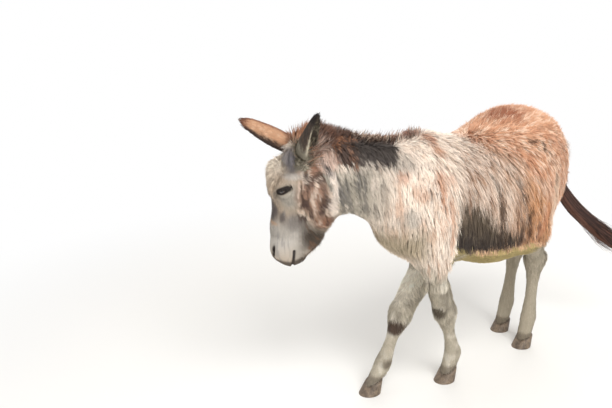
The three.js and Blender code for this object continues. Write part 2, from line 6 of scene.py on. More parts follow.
import bmesh
import bpy
import numpy as np
from mathutils import Matrix, Vector
from mathutils.bvhtree import BVHTree


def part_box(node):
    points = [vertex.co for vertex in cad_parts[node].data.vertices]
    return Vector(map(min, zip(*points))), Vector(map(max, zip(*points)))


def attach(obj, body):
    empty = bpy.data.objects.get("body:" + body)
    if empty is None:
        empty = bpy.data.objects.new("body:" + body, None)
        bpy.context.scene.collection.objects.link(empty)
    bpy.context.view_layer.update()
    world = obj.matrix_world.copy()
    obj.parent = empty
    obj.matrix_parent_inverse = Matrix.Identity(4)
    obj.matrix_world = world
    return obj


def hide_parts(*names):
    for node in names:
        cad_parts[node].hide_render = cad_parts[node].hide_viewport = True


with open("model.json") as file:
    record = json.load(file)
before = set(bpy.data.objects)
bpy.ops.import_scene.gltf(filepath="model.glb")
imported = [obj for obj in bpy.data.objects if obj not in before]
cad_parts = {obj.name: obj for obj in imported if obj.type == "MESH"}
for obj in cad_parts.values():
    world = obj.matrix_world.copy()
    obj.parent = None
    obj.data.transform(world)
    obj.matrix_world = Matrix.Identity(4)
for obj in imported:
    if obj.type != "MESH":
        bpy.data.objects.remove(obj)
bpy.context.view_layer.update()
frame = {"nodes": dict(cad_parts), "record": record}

# ---- Camera ----------------------------------------------------------------------------------
# It stands where a grown person's eyes are, ahead of the animal and to its left, and looks a
# little down.
camera_data = bpy.data.cameras.new("camera")
camera_data.sensor_width = 36
camera_data.lens = 38.22
camera = bpy.data.objects.new("camera", camera_data)
camera.location = (-2.2595, -1.7199, 1.4583)
camera.rotation_euler = (math.radians(90 - 14.63), 0, math.radians(-38.98))
bpy.context.collection.objects.link(camera)
bpy.context.scene.camera = camera

# ---- Skin: the moulded surface ---------------------------------------------------------------
# One skin over head, body, legs, ears and dock. It is moulded over the flesh solids and then
# drawn in by the depth of the coat, so that the hair's tips end at the solids' outline.

LEGS = [f"{end}leg_{side}" for end in ("fore", "hind") for side in ("left", "right")]
EARS = ["ear_left", "ear_right"]
FLESH = ["head", "neck", "trunk", "hindquarters", "tail_dock"]
FLESH += [f"{leg}_{part}" for leg in LEGS for part in ("upper", "lower")]
UPPER_LEGS, LOWER_LEGS = ([leg + end for leg in LEGS] for end in ("_upper", "_lower"))


def placed(name, data):
    """A new object in the scene."""
    made = bpy.data.objects.new(name, data)
    bpy.context.collection.objects.link(made)
    return made


def unit(vectors):
    """Vectors of length 1."""
    vectors = np.asarray(vectors, float)
    return vectors / np.maximum(np.linalg.norm(vectors, axis=-1, keepdims=True), 1e-9)


def mesh_arrays(mesh):
    """A mesh's points, triangles and edges."""
    mesh.calc_loop_triangles()
    points = np.empty(len(mesh.vertices) * 3)
    mesh.vertices.foreach_get("co", points)
    triangles = np.empty(len(mesh.loop_triangles) * 3, np.int32)
    mesh.loop_triangles.foreach_get("vertices", triangles)
    edges = np.empty(len(mesh.edges) * 2, np.int32)
    mesh.edges.foreach_get("vertices", edges)
    return points.reshape(-1, 3), triangles.reshape(-1, 3), edges.reshape(-1, 2)


def cad_surface(node):
    """A CAD node's points and triangles, with its doubled points merged."""
    points, triangles, _ = mesh_arrays(frame["nodes"][node].data)
    merged, place = np.unique(np.round(points, 5), axis=0, return_inverse=True)
    triangles = place.ravel()[triangles]
    a, b, c = triangles.T
    return merged, triangles[(a != b) & (b != c) & (a != c)]


def normals_of(points, triangles):
    """A smooth normal at each point."""
    a, b, c = (points[triangles[:, i]] for i in range(3))
    faces = np.cross(b - a, c - a)
    total = np.zeros_like(points)
    for corner in triangles.T:
        for axis in range(3):
            total[:, axis] += np.bincount(corner, faces[:, axis], len(points))
    return unit(total)


def averaged(values, edges):
    """The mean of each point's neighbours."""
    count = len(values)
    a, b = edges.T
    flat = values.reshape(count, -1)
    degree = np.maximum(np.bincount(edges.ravel(), minlength=count), 1)
    sums = [np.bincount(a, column[b], count) + np.bincount(b, column[a], count) for column in flat.T]
    return (np.stack(sums, 1) / degree[:, None]).reshape(values.shape)


def diffused(values, edges, passes):
    """Values spread over the surface, so that regions melt into each other."""
    for _ in range(passes):
        values = 0.5 * values + 0.5 * averaged(values, edges)
    return values


def ramp(values, low, high):
    """0 below low and 1 above high, smooth between. A high below low turns it round."""
    share = np.clip((values - low) / (high - low), 0, 1)
    return share * share * (3 - 2 * share)


def middle(node):
    """The middle of a CAD node's box."""
    low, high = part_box(node)
    return np.array((low + high) / 2)


# The head's own axes, from its two eyes: towards the forehead, down the face, and to its left.
eye_places = {side: middle(f"eye_{side}") for side in ("left", "right")}
HEAD_LEFT = unit(eye_places["left"] - eye_places["right"])
HEAD_FRONT = unit(np.cross(HEAD_LEFT, (0, 0, 1)))
HEAD_DOWN = np.cross(HEAD_LEFT, HEAD_FRONT)
crown = (eye_places["left"] + eye_places["right"]) / 2 - 0.078 * HEAD_FRONT - 0.118 * HEAD_DOWN
HEAD_AXES = np.stack([HEAD_FRONT, HEAD_DOWN, HEAD_LEFT])


def on_head(points):
    """Points as millimetres towards the front, down and left of the crown."""
    return (points - crown) @ HEAD_AXES.T * 1000


def off_head(front, down, left):
    """A point from millimetres towards the front, down and left of the crown."""
    return crown + np.array([front, down, left]) / 1000 @ HEAD_AXES


def line_gap(flat, start, end):
    """How far along a flat line each point is, from 0 to 1, and how far from it."""
    start, along = np.array(start), np.subtract(end, start)
    t = np.clip((flat - start) @ along / (along @ along), 0, 1)
    return t, np.linalg.norm(flat - start - t[:, None] * along, axis=1)


# The crest of the neck, from the withers to the poll, seen from above.
CREST = [(-0.31, -0.051), (-0.435, -0.031), (-0.595, 0.011), (-0.69, 0.056),
         (-0.75, 0.052), (-0.825, 0.071), (-0.875, 0.094)]
CREST_DROP = 0.040      # how far the mane's roots lie below the coat's ordinary depth


def crest_share(points):
    """1 on the crest of the neck, where the mane stands, and 0 beside it."""
    gap = np.full(len(points), 1.0)
    for start, end in zip(CREST[:-1], CREST[1:]):
        gap = np.minimum(gap, line_gap(points[:, :2], start, end)[1])
    return ramp(gap, 0.048, 0.018) * ramp(points[:, 2], 0.96, 1.02)


ear_roots = {"ear_left": off_head(20, 34, 52), "ear_right": off_head(6, 18, -42)}
CUT_FILL = 0.0008       # how far each solid is grown, to close the thin cuts between them
PLUG_RADIUS = 0.062     # how much of an ear's foot closes its socket
SOCKET_RADIUS = 0.0175  # a ball that fills each eye socket
mold = bmesh.new()
surface_points, surface_triangles, owners = [], [], []
for number, node in enumerate(FLESH + EARS):
    points, triangles = cad_surface(node)
    surface_triangles.append(triangles + sum(len(p) for p in surface_points))
    surface_points.append(points)
    owners.append(np.full(len(triangles), number))
    if node in FLESH:
        grown = points + CUT_FILL * normals_of(points, triangles)
        made = [mold.verts.new(p) for p in grown]
        for triangle in triangles:
            mold.faces.new([made[i] for i in triangle])
    else:
        # A plug of the ear's foot closes its socket in the head and neck.
        foot = points[np.linalg.norm(points - ear_roots[node], axis=1) < PLUG_RADIUS]
        plug = bmesh.new()
        hull = bmesh.ops.convex_hull(plug, input=[plug.verts.new(p) for p in foot])
        bmesh.ops.delete(plug, geom=hull["geom_interior"], context="VERTS")
        made = {v: mold.verts.new(v.co) for v in plug.verts}
        for face in plug.faces:
            mold.faces.new([made[v] for v in face.verts])
        plug.free()
for place in eye_places.values():
    filling = Matrix.Translation(place)
    bmesh.ops.create_icosphere(mold, subdivisions=3, radius=SOCKET_RADIUS, matrix=filling)
bmesh.ops.recalc_face_normals(mold, faces=mold.faces)
mold_mesh = bpy.data.meshes.new("mold")
mold.to_mesh(mold_mesh)
mold.free()
mold_object = placed("mold", mold_mesh)
remesh = mold_object.modifiers.new("remesh", "REMESH")
remesh.mode = "VOXEL"
remesh.voxel_size = 0.0080
graph = bpy.context.evaluated_depsgraph_get()
skin_mesh = bpy.data.meshes.new_from_object(mold_object.evaluated_get(graph))
bpy.data.objects.remove(mold_object)

region_tree = BVHTree.FromPolygons(
    np.concatenate(surface_points).tolist(), np.concatenate(surface_triangles).tolist()
)
region_owner = np.concatenate(owners)


def regions_of(points):
    """The number of the nearest flesh node, in FLESH + EARS."""
    return region_owner[[region_tree.find_nearest(p)[2] for p in points.tolist()]]


def is_in(regions, *names):
    """Where the region's name starts with one of these."""
    wanted = [i for i, node in enumerate(FLESH + EARS) if node.startswith(names)]
    return np.isin(regions, wanted)


# The line on each flank where the long hair ends, above the short hair of the belly.
FRINGE = [(-0.30, 0.662), (-0.17, 0.614), (-0.06, 0.586), (0.06, 0.590),
          (0.19, 0.580), (0.27, 0.565), (0.36, 0.545), (0.45, 0.53)]


def above_fringe(points):
    """Height above the lower edge of the long flank hair."""
    x, z = np.array(FRINGE).T
    return points[:, 2] - np.interp(points[:, 0], x, z)


def coat_depth(points, regions):
    """How far the coat's tips stand off the skin, in metres."""
    depth = np.full(len(points), 0.018)
    depth[is_in(regions, "trunk")] = 0.022
    depth[is_in(regions, "tail_dock")] = 0.012
    depth[is_in(regions, *LOWER_LEGS)] = 0.004
    upper = is_in(regions, *UPPER_LEGS)
    depth[upper] = 0.008 + 0.012 * ramp(points[upper, 2], 0.50, 0.60)
    belly = is_in(regions, "trunk", "hindquarters") & (above_fringe(points) < 0.01)
    depth[belly & (points[:, 0] > -0.33)] = 0.007
    front, down, _ = on_head(points).T
    face = is_in(regions, "head")
    short = 0.0045 + 0.010 * ramp(front, 70, 110) * ramp(down, 165, 120)
    short += 0.006 * ramp(front, 40, -20) + 0.014 * ramp(down, 35, 0)
    short -= 0.003 * ramp(down, 310, 350) * ramp(front, 0, 40)
    depth[face] = short[face]
    return depth


skin_points, _, skin_edges = mesh_arrays(skin_mesh)
skin_quads = np.empty(len(skin_mesh.loops), np.int32)
skin_mesh.loops.foreach_get("vertex_index", skin_quads)
skin_quads = skin_quads.reshape(-1, 4)
halves = np.concatenate([skin_quads[:, [0, 1, 2]], skin_quads[:, [0, 2, 3]]])
regions = regions_of(skin_points)
# The large masses are smoothed most, since their solids have the largest facets, and so are the
# joints of upper and lower legs.
MOST_PASSES = 26
passes = np.where(is_in(regions, "trunk", "hindquarters", "neck"), float(MOST_PASSES), 6.0)
leg_joint = np.abs(skin_points[:, 2] - 0.5) < 0.04
passes = diffused(np.where(leg_joint, 20.0, passes), skin_edges, 4)
for turn in range(MOST_PASSES):
    share = 0.5 * np.clip(passes - turn, 0, 1)[:, None]
    skin_points = skin_points + share * (averaged(skin_points, skin_edges) - skin_points)
depth = diffused(coat_depth(skin_points, regions), skin_edges, 8)
DRAWS = 8       # the skin is drawn in a little at a time
for _ in range(DRAWS):
    skin_points = skin_points - normals_of(skin_points, halves) * (depth / DRAWS)[:, None]
    skin_points = skin_points + 0.25 * (averaged(skin_points, skin_edges) - skin_points)
on_crest = crest_share(skin_points) * is_in(regions, "neck", "head", "trunk")
on_crest = on_crest * ramp(skin_points[:, 0], -0.34, -0.41)
skin_points[:, 2] -= CREST_DROP * diffused(on_crest, skin_edges, 6)

# The head's faces are cut finer, for the folds of the face.
skin_mesh.vertices.foreach_set("co", skin_points.ravel())
fine = bmesh.new()
fine.from_mesh(skin_mesh)
fine.verts.ensure_lookup_table()
head_point = is_in(regions, "head")
head_edges = [e for e in fine.edges if head_point[e.verts[0].index] and head_point[e.verts[1].index]]
bmesh.ops.subdivide_edges(fine, edges=head_edges, cuts=1, use_grid_fill=True)
fine.to_mesh(skin_mesh)
fine.free()
skin_points, skin_triangles, skin_edges = mesh_arrays(skin_mesh)
regions = regions_of(skin_points)
face_share = diffused(is_in(regions, "head").astype(float), skin_edges, 3)[:, None]
for _ in range(4):
    skin_points = skin_points + 0.5 * face_share * (averaged(skin_points, skin_edges) - skin_points)


# ---- Skin: nostrils and lips -------------------------------------------------------------------
# A donkey's nostril is a comma-shaped slit with a soft raised rim. The mouth is a thin fold from
# the front of the muzzle back along each side.

def nostril_share(front, down, left):
    """1 in the middle of a nostril's slit, on the front corner of the muzzle."""
    round_corner = np.abs(left) + 0.9 * (118 - front) - 33 + 0.20 * (down - 392)
    return np.exp(-((round_corner / 9) ** 2 + ((down - 390) / 21) ** 2)) * (front > 92)


def mouth_gap(front, down):
    """Distance from the line of the lips, in millimetres."""
    line = 44 + 7 * ramp(down, 385, 470)
    return np.abs(front - line) + 60 * ramp(down, 384, 366)


front, down, left = on_head(skin_points).T
slit = nostril_share(front, down, left)
rim = nostril_share(front, 392 + (down - 392) * 0.72, left * 0.86 + 4.6 * np.sign(left)) - slit
groove = ramp(mouth_gap(front, down), 8, 0)
push = 0.017 * slit - 0.0030 * np.clip(rim, 0, 1) + 0.0075 * groove
# The brow and the cheekbone stand up round each eye.
for place_of_eye in eye_places.values():
    near_eye = np.linalg.norm(skin_points - place_of_eye, axis=1)
    push -= 0.0035 * np.exp(-((near_eye - 0.026) / 0.016) ** 2)
push = push * face_share[:, 0]
skin_points = skin_points - normals_of(skin_points, skin_triangles) * push[:, None]

# ---- Skin: ears ------------------------------------------------------------------------------
# Each ear is a long cupped leaf of thin cartilage. Its foot goes into the head under the hair.

EAR_HOLLOWS = {"ear_left": unit((0.42, -0.88, 0.0)), "ear_right": unit((0.45, 0.6, -0.65))}
EAR_FEET = {"ear_left": (0.20, 0.40), "ear_right": (0.02, 0.18)}    # where along an ear its foot widens
ear_axes = {}
ear_parts = []
for node in EARS:
    points, triangles = cad_surface(node)
    leaf = bpy.data.meshes.new(node)
    leaf.from_pydata(points.tolist(), [], triangles.tolist())
    leaf_object = placed(node, leaf)
    rounding = leaf_object.modifiers.new("rounding", "SUBSURF")
    rounding.levels = rounding.render_levels = 2
    graph = bpy.context.evaluated_depsgraph_get()
    leaf = bpy.data.meshes.new_from_object(leaf_object.evaluated_get(graph))
    bpy.data.objects.remove(leaf_object)
    points, triangles, _ = mesh_arrays(leaf)
    tip = points[np.argmax(np.linalg.norm(points - ear_roots[node], axis=1))]
    ear_axes[node] = (ear_roots[node], tip)
    # The foot narrows to a tube that the hair hides.
    along = tip - ear_roots[node]
    reach = (points - ear_roots[node]) @ along / (along @ along)
    on_line = ear_roots[node] + reach[:, None] * along
    points = on_line + (points - on_line) * (0.05 + 0.95 * ramp(reach, *EAR_FEET[node]))[:, None]
    ear_parts.append((points - 0.0012 * normals_of(points, triangles), triangles))


def ear_place(points, node):
    """How far along an ear, from root to tip, how far across it in metres, and its hollow side."""
    root, tip = ear_axes[node]
    along = tip - root
    reach = (points - root) @ along / (along @ along)
    hollow = unit(EAR_HOLLOWS[node] - (EAR_HOLLOWS[node] @ along) * along / (along @ along))
    across = np.cross(hollow, unit(along))
    return reach, (points - root) @ across, hollow, across


# How wide each ear is at stops along it, and its lowest and highest points towards its hollow side.
EAR_STOPS = np.linspace(0, 1, 13)
ear_widths, ear_lifts = {}, {}
for node, (points, _) in zip(EARS, ear_parts):
    reach, side, hollow, _ = ear_place(points, node)
    lift = (points - ear_roots[node]) @ hollow
    near = [np.abs(reach - stop) < 0.05 for stop in EAR_STOPS]
    ear_widths[node] = [max(np.abs(side[found]).max(initial=0.0), 0.008) for found in near]
    ear_lifts[node] = [lift[found].min() for found in near], [lift[found].max() for found in near]


def ear_inner(points, normals, node):
    """Where an ear's surface faces its own hollow."""
    _, side, hollow, across = ear_place(points, node)
    return (normals @ hollow > 0.6) | ((normals @ across) * side < -0.002)


# ---- Skin: eyelids -----------------------------------------------------------------------------
# Two lids close over each eyeball round a slanting almond slit, thick at the edge, with a fold
# above and below. They run out over brow and cheek, as part of the one skin.

EYE_RADIUS = 0.019
LID_SIDES = 72
LID_REACH = 0.036
# Steps from the slit to the lids' outer edge. The first two make the thickness of the edge.
LID_RINGS = [0, 0, 0.015, 0.035, 0.065, 0.10, 0.14, 0.18, 0.23,
             0.29, 0.36, 0.45, 0.55, 0.66, 0.78, 0.90, 1.0]
LID_SHELLS = (0.0002, 0.0015, 0.0022)    # how far the first rings, and then the rest, stand off the ball
LID_SQUASH = 0.92                        # height of the lids' outer edge over its length
SLIT = (0.0168, 0.0080, 0.0066)          # half length, rise of the upper lid's edge, fall of the lower's
CONE_FROM = 0.0134                       # where the lid leaves the ball and slopes down to the face
LID_MEET = 0.005                         # the width over which lid and face melt together
RAY_FROM = 0.08
face_tree = BVHTree.FromPolygons(skin_points.tolist(), skin_triangles.tolist())


def eye_frame(side):
    """An eye's middle, its gaze, the line of its slit from the rear corner forwards, and up."""
    out = 1 if side == "left" else -1
    gaze = unit(0.90 * out * HEAD_LEFT + 0.36 * HEAD_FRONT)
    line = 0.88 * HEAD_FRONT + 0.44 * HEAD_DOWN
    line = unit(line - (line @ gaze) * gaze)
    up = np.cross(gaze, line)
    return eye_places[side], gaze, line, up * np.sign(-up @ HEAD_DOWN)


def eye_coordinates(points, side):
    """Points as metres along the slit, up from it, and out from the eye's middle."""
    center, gaze, line, up = eye_frame(side)
    return (points - center) @ np.stack([line, up, gaze], 1)


def eyelids(side):
    """The sheet of both lids round one eye: its points and triangles."""
    center, gaze, line, up = eye_frame(side)
    # The almond outline of the slit, in the eye's own plane, and the lids' outer edge.
    turn = np.arange(LID_SIDES) / LID_SIDES * 2 * math.pi
    rise = np.where(np.sin(turn) > 0, SLIT[1], SLIT[2]) * np.sin(turn) * np.abs(np.sin(turn)) ** 0.35
    slit = np.column_stack([SLIT[0] * np.cos(turn), rise])
    outer = LID_REACH * np.column_stack([np.cos(turn), LID_SQUASH * np.sin(turn)])
    rings = []
    for number, step in enumerate(LID_RINGS):
        flat = slit + step * (outer - slit)
        gap = np.linalg.norm(flat - slit, axis=1)
        reach = np.linalg.norm(flat, axis=1)
        shell = EYE_RADIUS + LID_SHELLS[min(number, 2)]
        cone_top = math.sqrt(shell ** 2 - CONE_FROM ** 2)
        on_ball = np.sqrt(np.maximum(shell ** 2 - reach ** 2, 0))
        height = np.where(reach < CONE_FROM, on_ball, cone_top - 0.8 * (reach - CONE_FROM))
        # The folds above and below.
        height = height - 0.0011 * np.exp(-(((gap - 0.0058) / 0.0013) ** 2)) * (flat[:, 1] > 0)
        height = height - 0.0007 * np.exp(-(((gap - 0.0050) / 0.0012) ** 2)) * (flat[:, 1] < 0)
        # The height of the face there, seen from well outside it.
        face = []
        for a, b in flat:
            start = center + a * line + b * up + RAY_FROM * gaze
            distance = face_tree.ray_cast(Vector(start), Vector(-gaze))[3]
            face.append(RAY_FROM - distance if distance else -0.01)
        face = np.array(face)
        close = np.maximum(0, 1 - np.abs(height - face) / LID_MEET) ** 2
        joined = np.maximum(height, face) + LID_MEET / 4 * close
        height = joined + (face - 0.0012 - joined) * ramp(step, 0.72, 1.0)
        rings.append(center + flat[:, :1] * line + flat[:, 1:] * up + height[:, None] * gaze)
    points = np.concatenate(rings)
    sheet = []
    for ring in range(len(LID_RINGS) - 1):
        for spoke in range(LID_SIDES):
            a = ring * LID_SIDES + spoke
            b = ring * LID_SIDES + (spoke + 1) % LID_SIDES
            sheet += [(a, b, b + LID_SIDES), (a, b + LID_SIDES, a + LID_SIDES)]
    sheet = np.array(sheet)
    if (normals_of(points, sheet) @ gaze).mean() < 0:
        sheet = sheet[:, ::-1]
    return points, sheet


ear_parts += [eyelids("left"), eyelids("right")]
for number, (points, triangles) in enumerate(ear_parts):
    skin_triangles = np.concatenate([skin_triangles, triangles + len(skin_points)])
    skin_points = np.concatenate([skin_points, points])
    region = len(FLESH) + number if number < len(EARS) else FLESH.index("head")
    regions = np.concatenate([regions, np.full(len(points), region)])
sides = np.sort(skin_triangles[:, [0, 1, 1, 2, 2, 0]].reshape(-1, 2), axis=1)
skin_edges = np.unique(sides, axis=0)
skin_normals = normals_of(skin_points, skin_triangles)
lid_start = len(skin_points) - 2 * LID_SIDES * len(LID_RINGS)

# ---- Markings --------------------------------------------------------------------------------
# The coat is cream in front and rust brown behind, with a dark flank, a dark blotch under the
# mane, and spots on the face. Skin and hair take their colour from the same function. It also
# paints light and shade: painted shade in the nostrils, the mouth's line and the ears' hollows,
# and painted light on the upper right foreleg and behind the ears.


def linear(text):
    """A colour's linear values from its sRGB hex value."""
    value = np.array([int(text[i:i + 2], 16) for i in (1, 3, 5)]) / 255
    return np.where(value <= 0.04045, value / 12.92, ((value + 0.055) / 1.055) ** 2.4)


HASH_PRIMES = (73856093, 19349663, 83492791)


def scrambled(keys):
    """Whole numbers turned into seemingly random ones."""
    return ((keys & 0x7FFFFFFF) * 1103515245 + 12345) & 0x7FFFFFFF


def noise(points, size, seed):
    """Smooth random values from -1 to 1 that change over about the given size."""
    q = np.asarray(points) / size + seed * 13.7
    cell = np.floor(q).astype(np.int64)
    part = q - cell
    part = part * part * (3 - 2 * part)
    total = np.zeros(len(q))
    for corner in np.ndindex(2, 2, 2):
        key = (cell + corner) * HASH_PRIMES
        key = scrambled(key[:, 0] ^ key[:, 1] ^ key[:, 2])
        weight = np.prod(np.where(np.array(corner) == 1, part, 1 - part), axis=1)
        total += weight * ((key >> 9 & 0xFFFF) / 32767.5 - 1)
    return total


def wobble(points, size, seed):
    """A smooth random vector at each point."""
    return np.stack([noise(points, size, seed + axis) for axis in range(3)], 1)


def spot(places, center, radii, edge=0.35):
    """1 inside an ellipsoid and 0 outside, over a soft edge."""
    gap = np.linalg.norm((places - center) / radii, axis=1)
    return ramp(gap, 1 + edge, 1 - edge)


# Patches of the body: centre and radii in metres, colour, strength.
BODY_PATCHES = [
    ((-0.35, -0.12, 1.075), (0.022, 0.05, 0.022), "#c98f6c", 0.7),       # flecks under the withers
    ((-0.355, -0.165, 1.037), (0.026, 0.05, 0.022), "#cb946f", 0.75),
    ((-0.37, -0.21, 0.94), (0.050, 0.06, 0.030), "#dcb195", 0.5),
    ((-0.515, -0.138, 0.952), (0.026, 0.06, 0.020), "#bd8c70", 0.65),
    ((-0.45, -0.20, 0.88), (0.026, 0.06, 0.022), "#d6ad92", 0.5),
    ((-0.42, 0.16, 0.99), (0.060, 0.06, 0.050), "#b97f5c", 0.7),
    ((-0.30, 0.20, 0.78), (0.050, 0.06, 0.070), "#c39474", 0.6),
    ((-0.495, -0.158, 0.80), (0.030, 0.05, 0.040), "#a39d92", 0.6),      # grey on the breast
    ((-0.79, -0.008, 1.035), (0.052, 0.07, 0.045), "#cfb1a0", 0.95),     # pale mixed hair behind the ear
    ((0.155, -0.235, 1.024), (0.026, 0.05, 0.010), "#5d4130", 0.85),     # small dark marks on the rump
    ((0.218, -0.25, 1.002), (0.011, 0.05, 0.026), "#4d382b", 0.95),
    ((0.26, -0.27, 0.93), (0.010, 0.05, 0.030), "#8a6248", 0.5),
    ((0.31, -0.27, 0.845), (0.014, 0.05, 0.042), "#4d382b", 0.85),
    ((0.12, 0.18, 1.03), (0.040, 0.05, 0.020), "#5d4130", 0.8),
    ((0.27, 0.19, 0.80), (0.016, 0.05, 0.060), "#4d382b", 0.8),
    ((0.222, -0.29, 0.70), (0.040, 0.08, 0.10), "#cf9068", 0.8),         # bright rust before the thigh
    ((0.335, -0.25, 0.74), (0.045, 0.10, 0.12), "#ebcfb6", 0.9),         # pale thigh behind it
]

# Dark patches of the legs, like those of the body.
LEG_PATCHES = [
    ((-0.418, -0.034, 0.278), (0.052, 0.050, 0.034), "#4a362a", 0.95),
    ((-0.302, -0.150, 0.340), (0.030, 0.055, 0.042), "#54483a", 0.95),
    ((-0.445, 0.005, 0.125), (0.030, 0.030, 0.022), "#6a5d4e", 0.8),
]

# Strokes in the long hair of each flank and shoulder: start and end in x and z, half width, colour.
STROKES = {
    "left": [
        ((-0.10, 0.885), (-0.035, 0.60), 0.014, "#413329"),
        ((0.030, 0.875), (0.045, 0.79), 0.013, "#46342a"),
        ((0.050, 0.73), (0.088, 0.60), 0.019, "#3d2d25"),
        ((-0.03, 0.71), (0.005, 0.60), 0.013, "#4a3829"),
        ((0.100, 0.72), (0.135, 0.60), 0.013, "#5a3b2a"),
        ((0.160, 0.71), (0.190, 0.62), 0.010, "#7f4f37"),
        ((0.00, 0.80), (0.03, 0.73), 0.008, "#7a5842"),
        ((-0.395, 0.97), (-0.372, 0.80), 0.012, "#d3a283"),
        ((-0.345, 0.86), (-0.335, 0.66), 0.010, "#d9ad90"),
    ],
    "right": [
        ((-0.02, 0.84), (0.03, 0.62), 0.014, "#4a3b31"),
        ((0.13, 0.80), (0.15, 0.66), 0.012, "#54402f"),
        ((-0.36, 0.94), (-0.35, 0.78), 0.014, "#cf9f80"),
    ],
}

# The lower edge of the dark blotch on the neck, under the mane.
BLOTCH_EDGE = [(-0.82, 1.09), (-0.777, 1.035), (-0.72, 1.003), (-0.667, 0.992), (-0.60, 0.983),
               (-0.555, 0.985), (-0.51, 1.018), (-0.46, 1.066), (-0.41, 1.108), (-0.36, 1.14)]

# Patches of the head, the same on both sides: millimetres to the front, down, and out from the
# middle, radii, colour, strength.
HEAD_PATCHES = [
    ((75, 330, 0), (120, 90, 90), "#bfb8af", 1.0),      # pale muzzle and nose
    ((112, 5, 0), (62, 86, 66), "#f4e8d6", 1.0),        # shaggy forehead
    ((48, 155, 75), (46, 62, 40), "#b7afa3", 1.0),      # pale below the eye
    ((-20, 36, 80), (44, 34, 36), "#bf9076", 1.0),      # rusty top of the cheek
    ((-26, 150, 80), (50, 95, 40), "#a98671", 1.0),     # cheek
    ((54, 6, 72), (38, 50, 50), "#868286", 1.0),        # blue-grey over the eye
    ((20, -58, 60), (34, 26, 40), "#8f8670", 0.9),      # olive in front of the ear
    ((-16, -50, 62), (16, 32, 40), "#ddd2c0", 0.9),     # pale behind it
    ((0, 2, 75), (16, 14, 30), "#4f3e35", 0.9),         # a dark spot below it
    ((50, 68, 85), (40, 13, 34), "#d0c8bf", 0.9),       # pale brow
    ((14, 44, 85), (6, 28, 34), "#eaddd0", 0.9),        # a pale streak beside the cheek
    ((-4, 80, 88), (12, 28, 34), "#5b504b", 0.9),       # dark on the cheek
    ((-40, 76, 86), (18, 24, 34), "#57443a", 0.9),
    ((-64, 168, 80), (10, 44, 34), "#5a4336", 0.8),
    ((-98, 145, 60), (22, 80, 80), "#efdfcf", 1.0),     # pale rear edge of the jaw
    ((-66, 246, 60), (36, 32, 60), "#94674e", 0.9),     # rust below it
    ((34, 264, 55), (46, 38, 42), "#8b837d", 0.85),     # grey lower cheek
    ((-24, 330, 20), (42, 66, 60), "#51463c", 1.0),     # dark beard
    ((124, 222, 15), (26, 44, 50), "#675e5c", 0.95),    # dark blotch on the bridge of the nose
    ((84, 238, 55), (13, 24, 26), "#675e5b", 0.9),
    ((122, 273, 20), (24, 9, 48), "#cbab90", 0.8),
    ((24, 400, 0), (24, 60, 60), "#a59e94", 0.8),       # chin
    ((50, 480, 0), (60, 20, 60), "#6b6055", 0.8),       # lips
    ((-30, -70, 0), (80, 48, 60), "#925f44", 1.0),      # rusty tuft between the ears
]


def stroke(places, start, end, half):
    """1 along a tapered stroke between two places of x and z, 0 beside it."""
    t, gap = line_gap(places[:, [0, 2]], start, end)
    return ramp(gap / half, 1.25, 0.55) * (0.5 + 0.5 * np.sin(math.pi * np.clip(t, 0.05, 0.95)))


def painter(colour):
    """A function that paints a colour over the given ones, as strongly as its share."""

    def paint(text, share):
        share = np.clip(share * np.ones(len(colour)), 0, 1)[:, None]
        colour[:] = colour * (1 - share) + linear(text) * share

    return paint


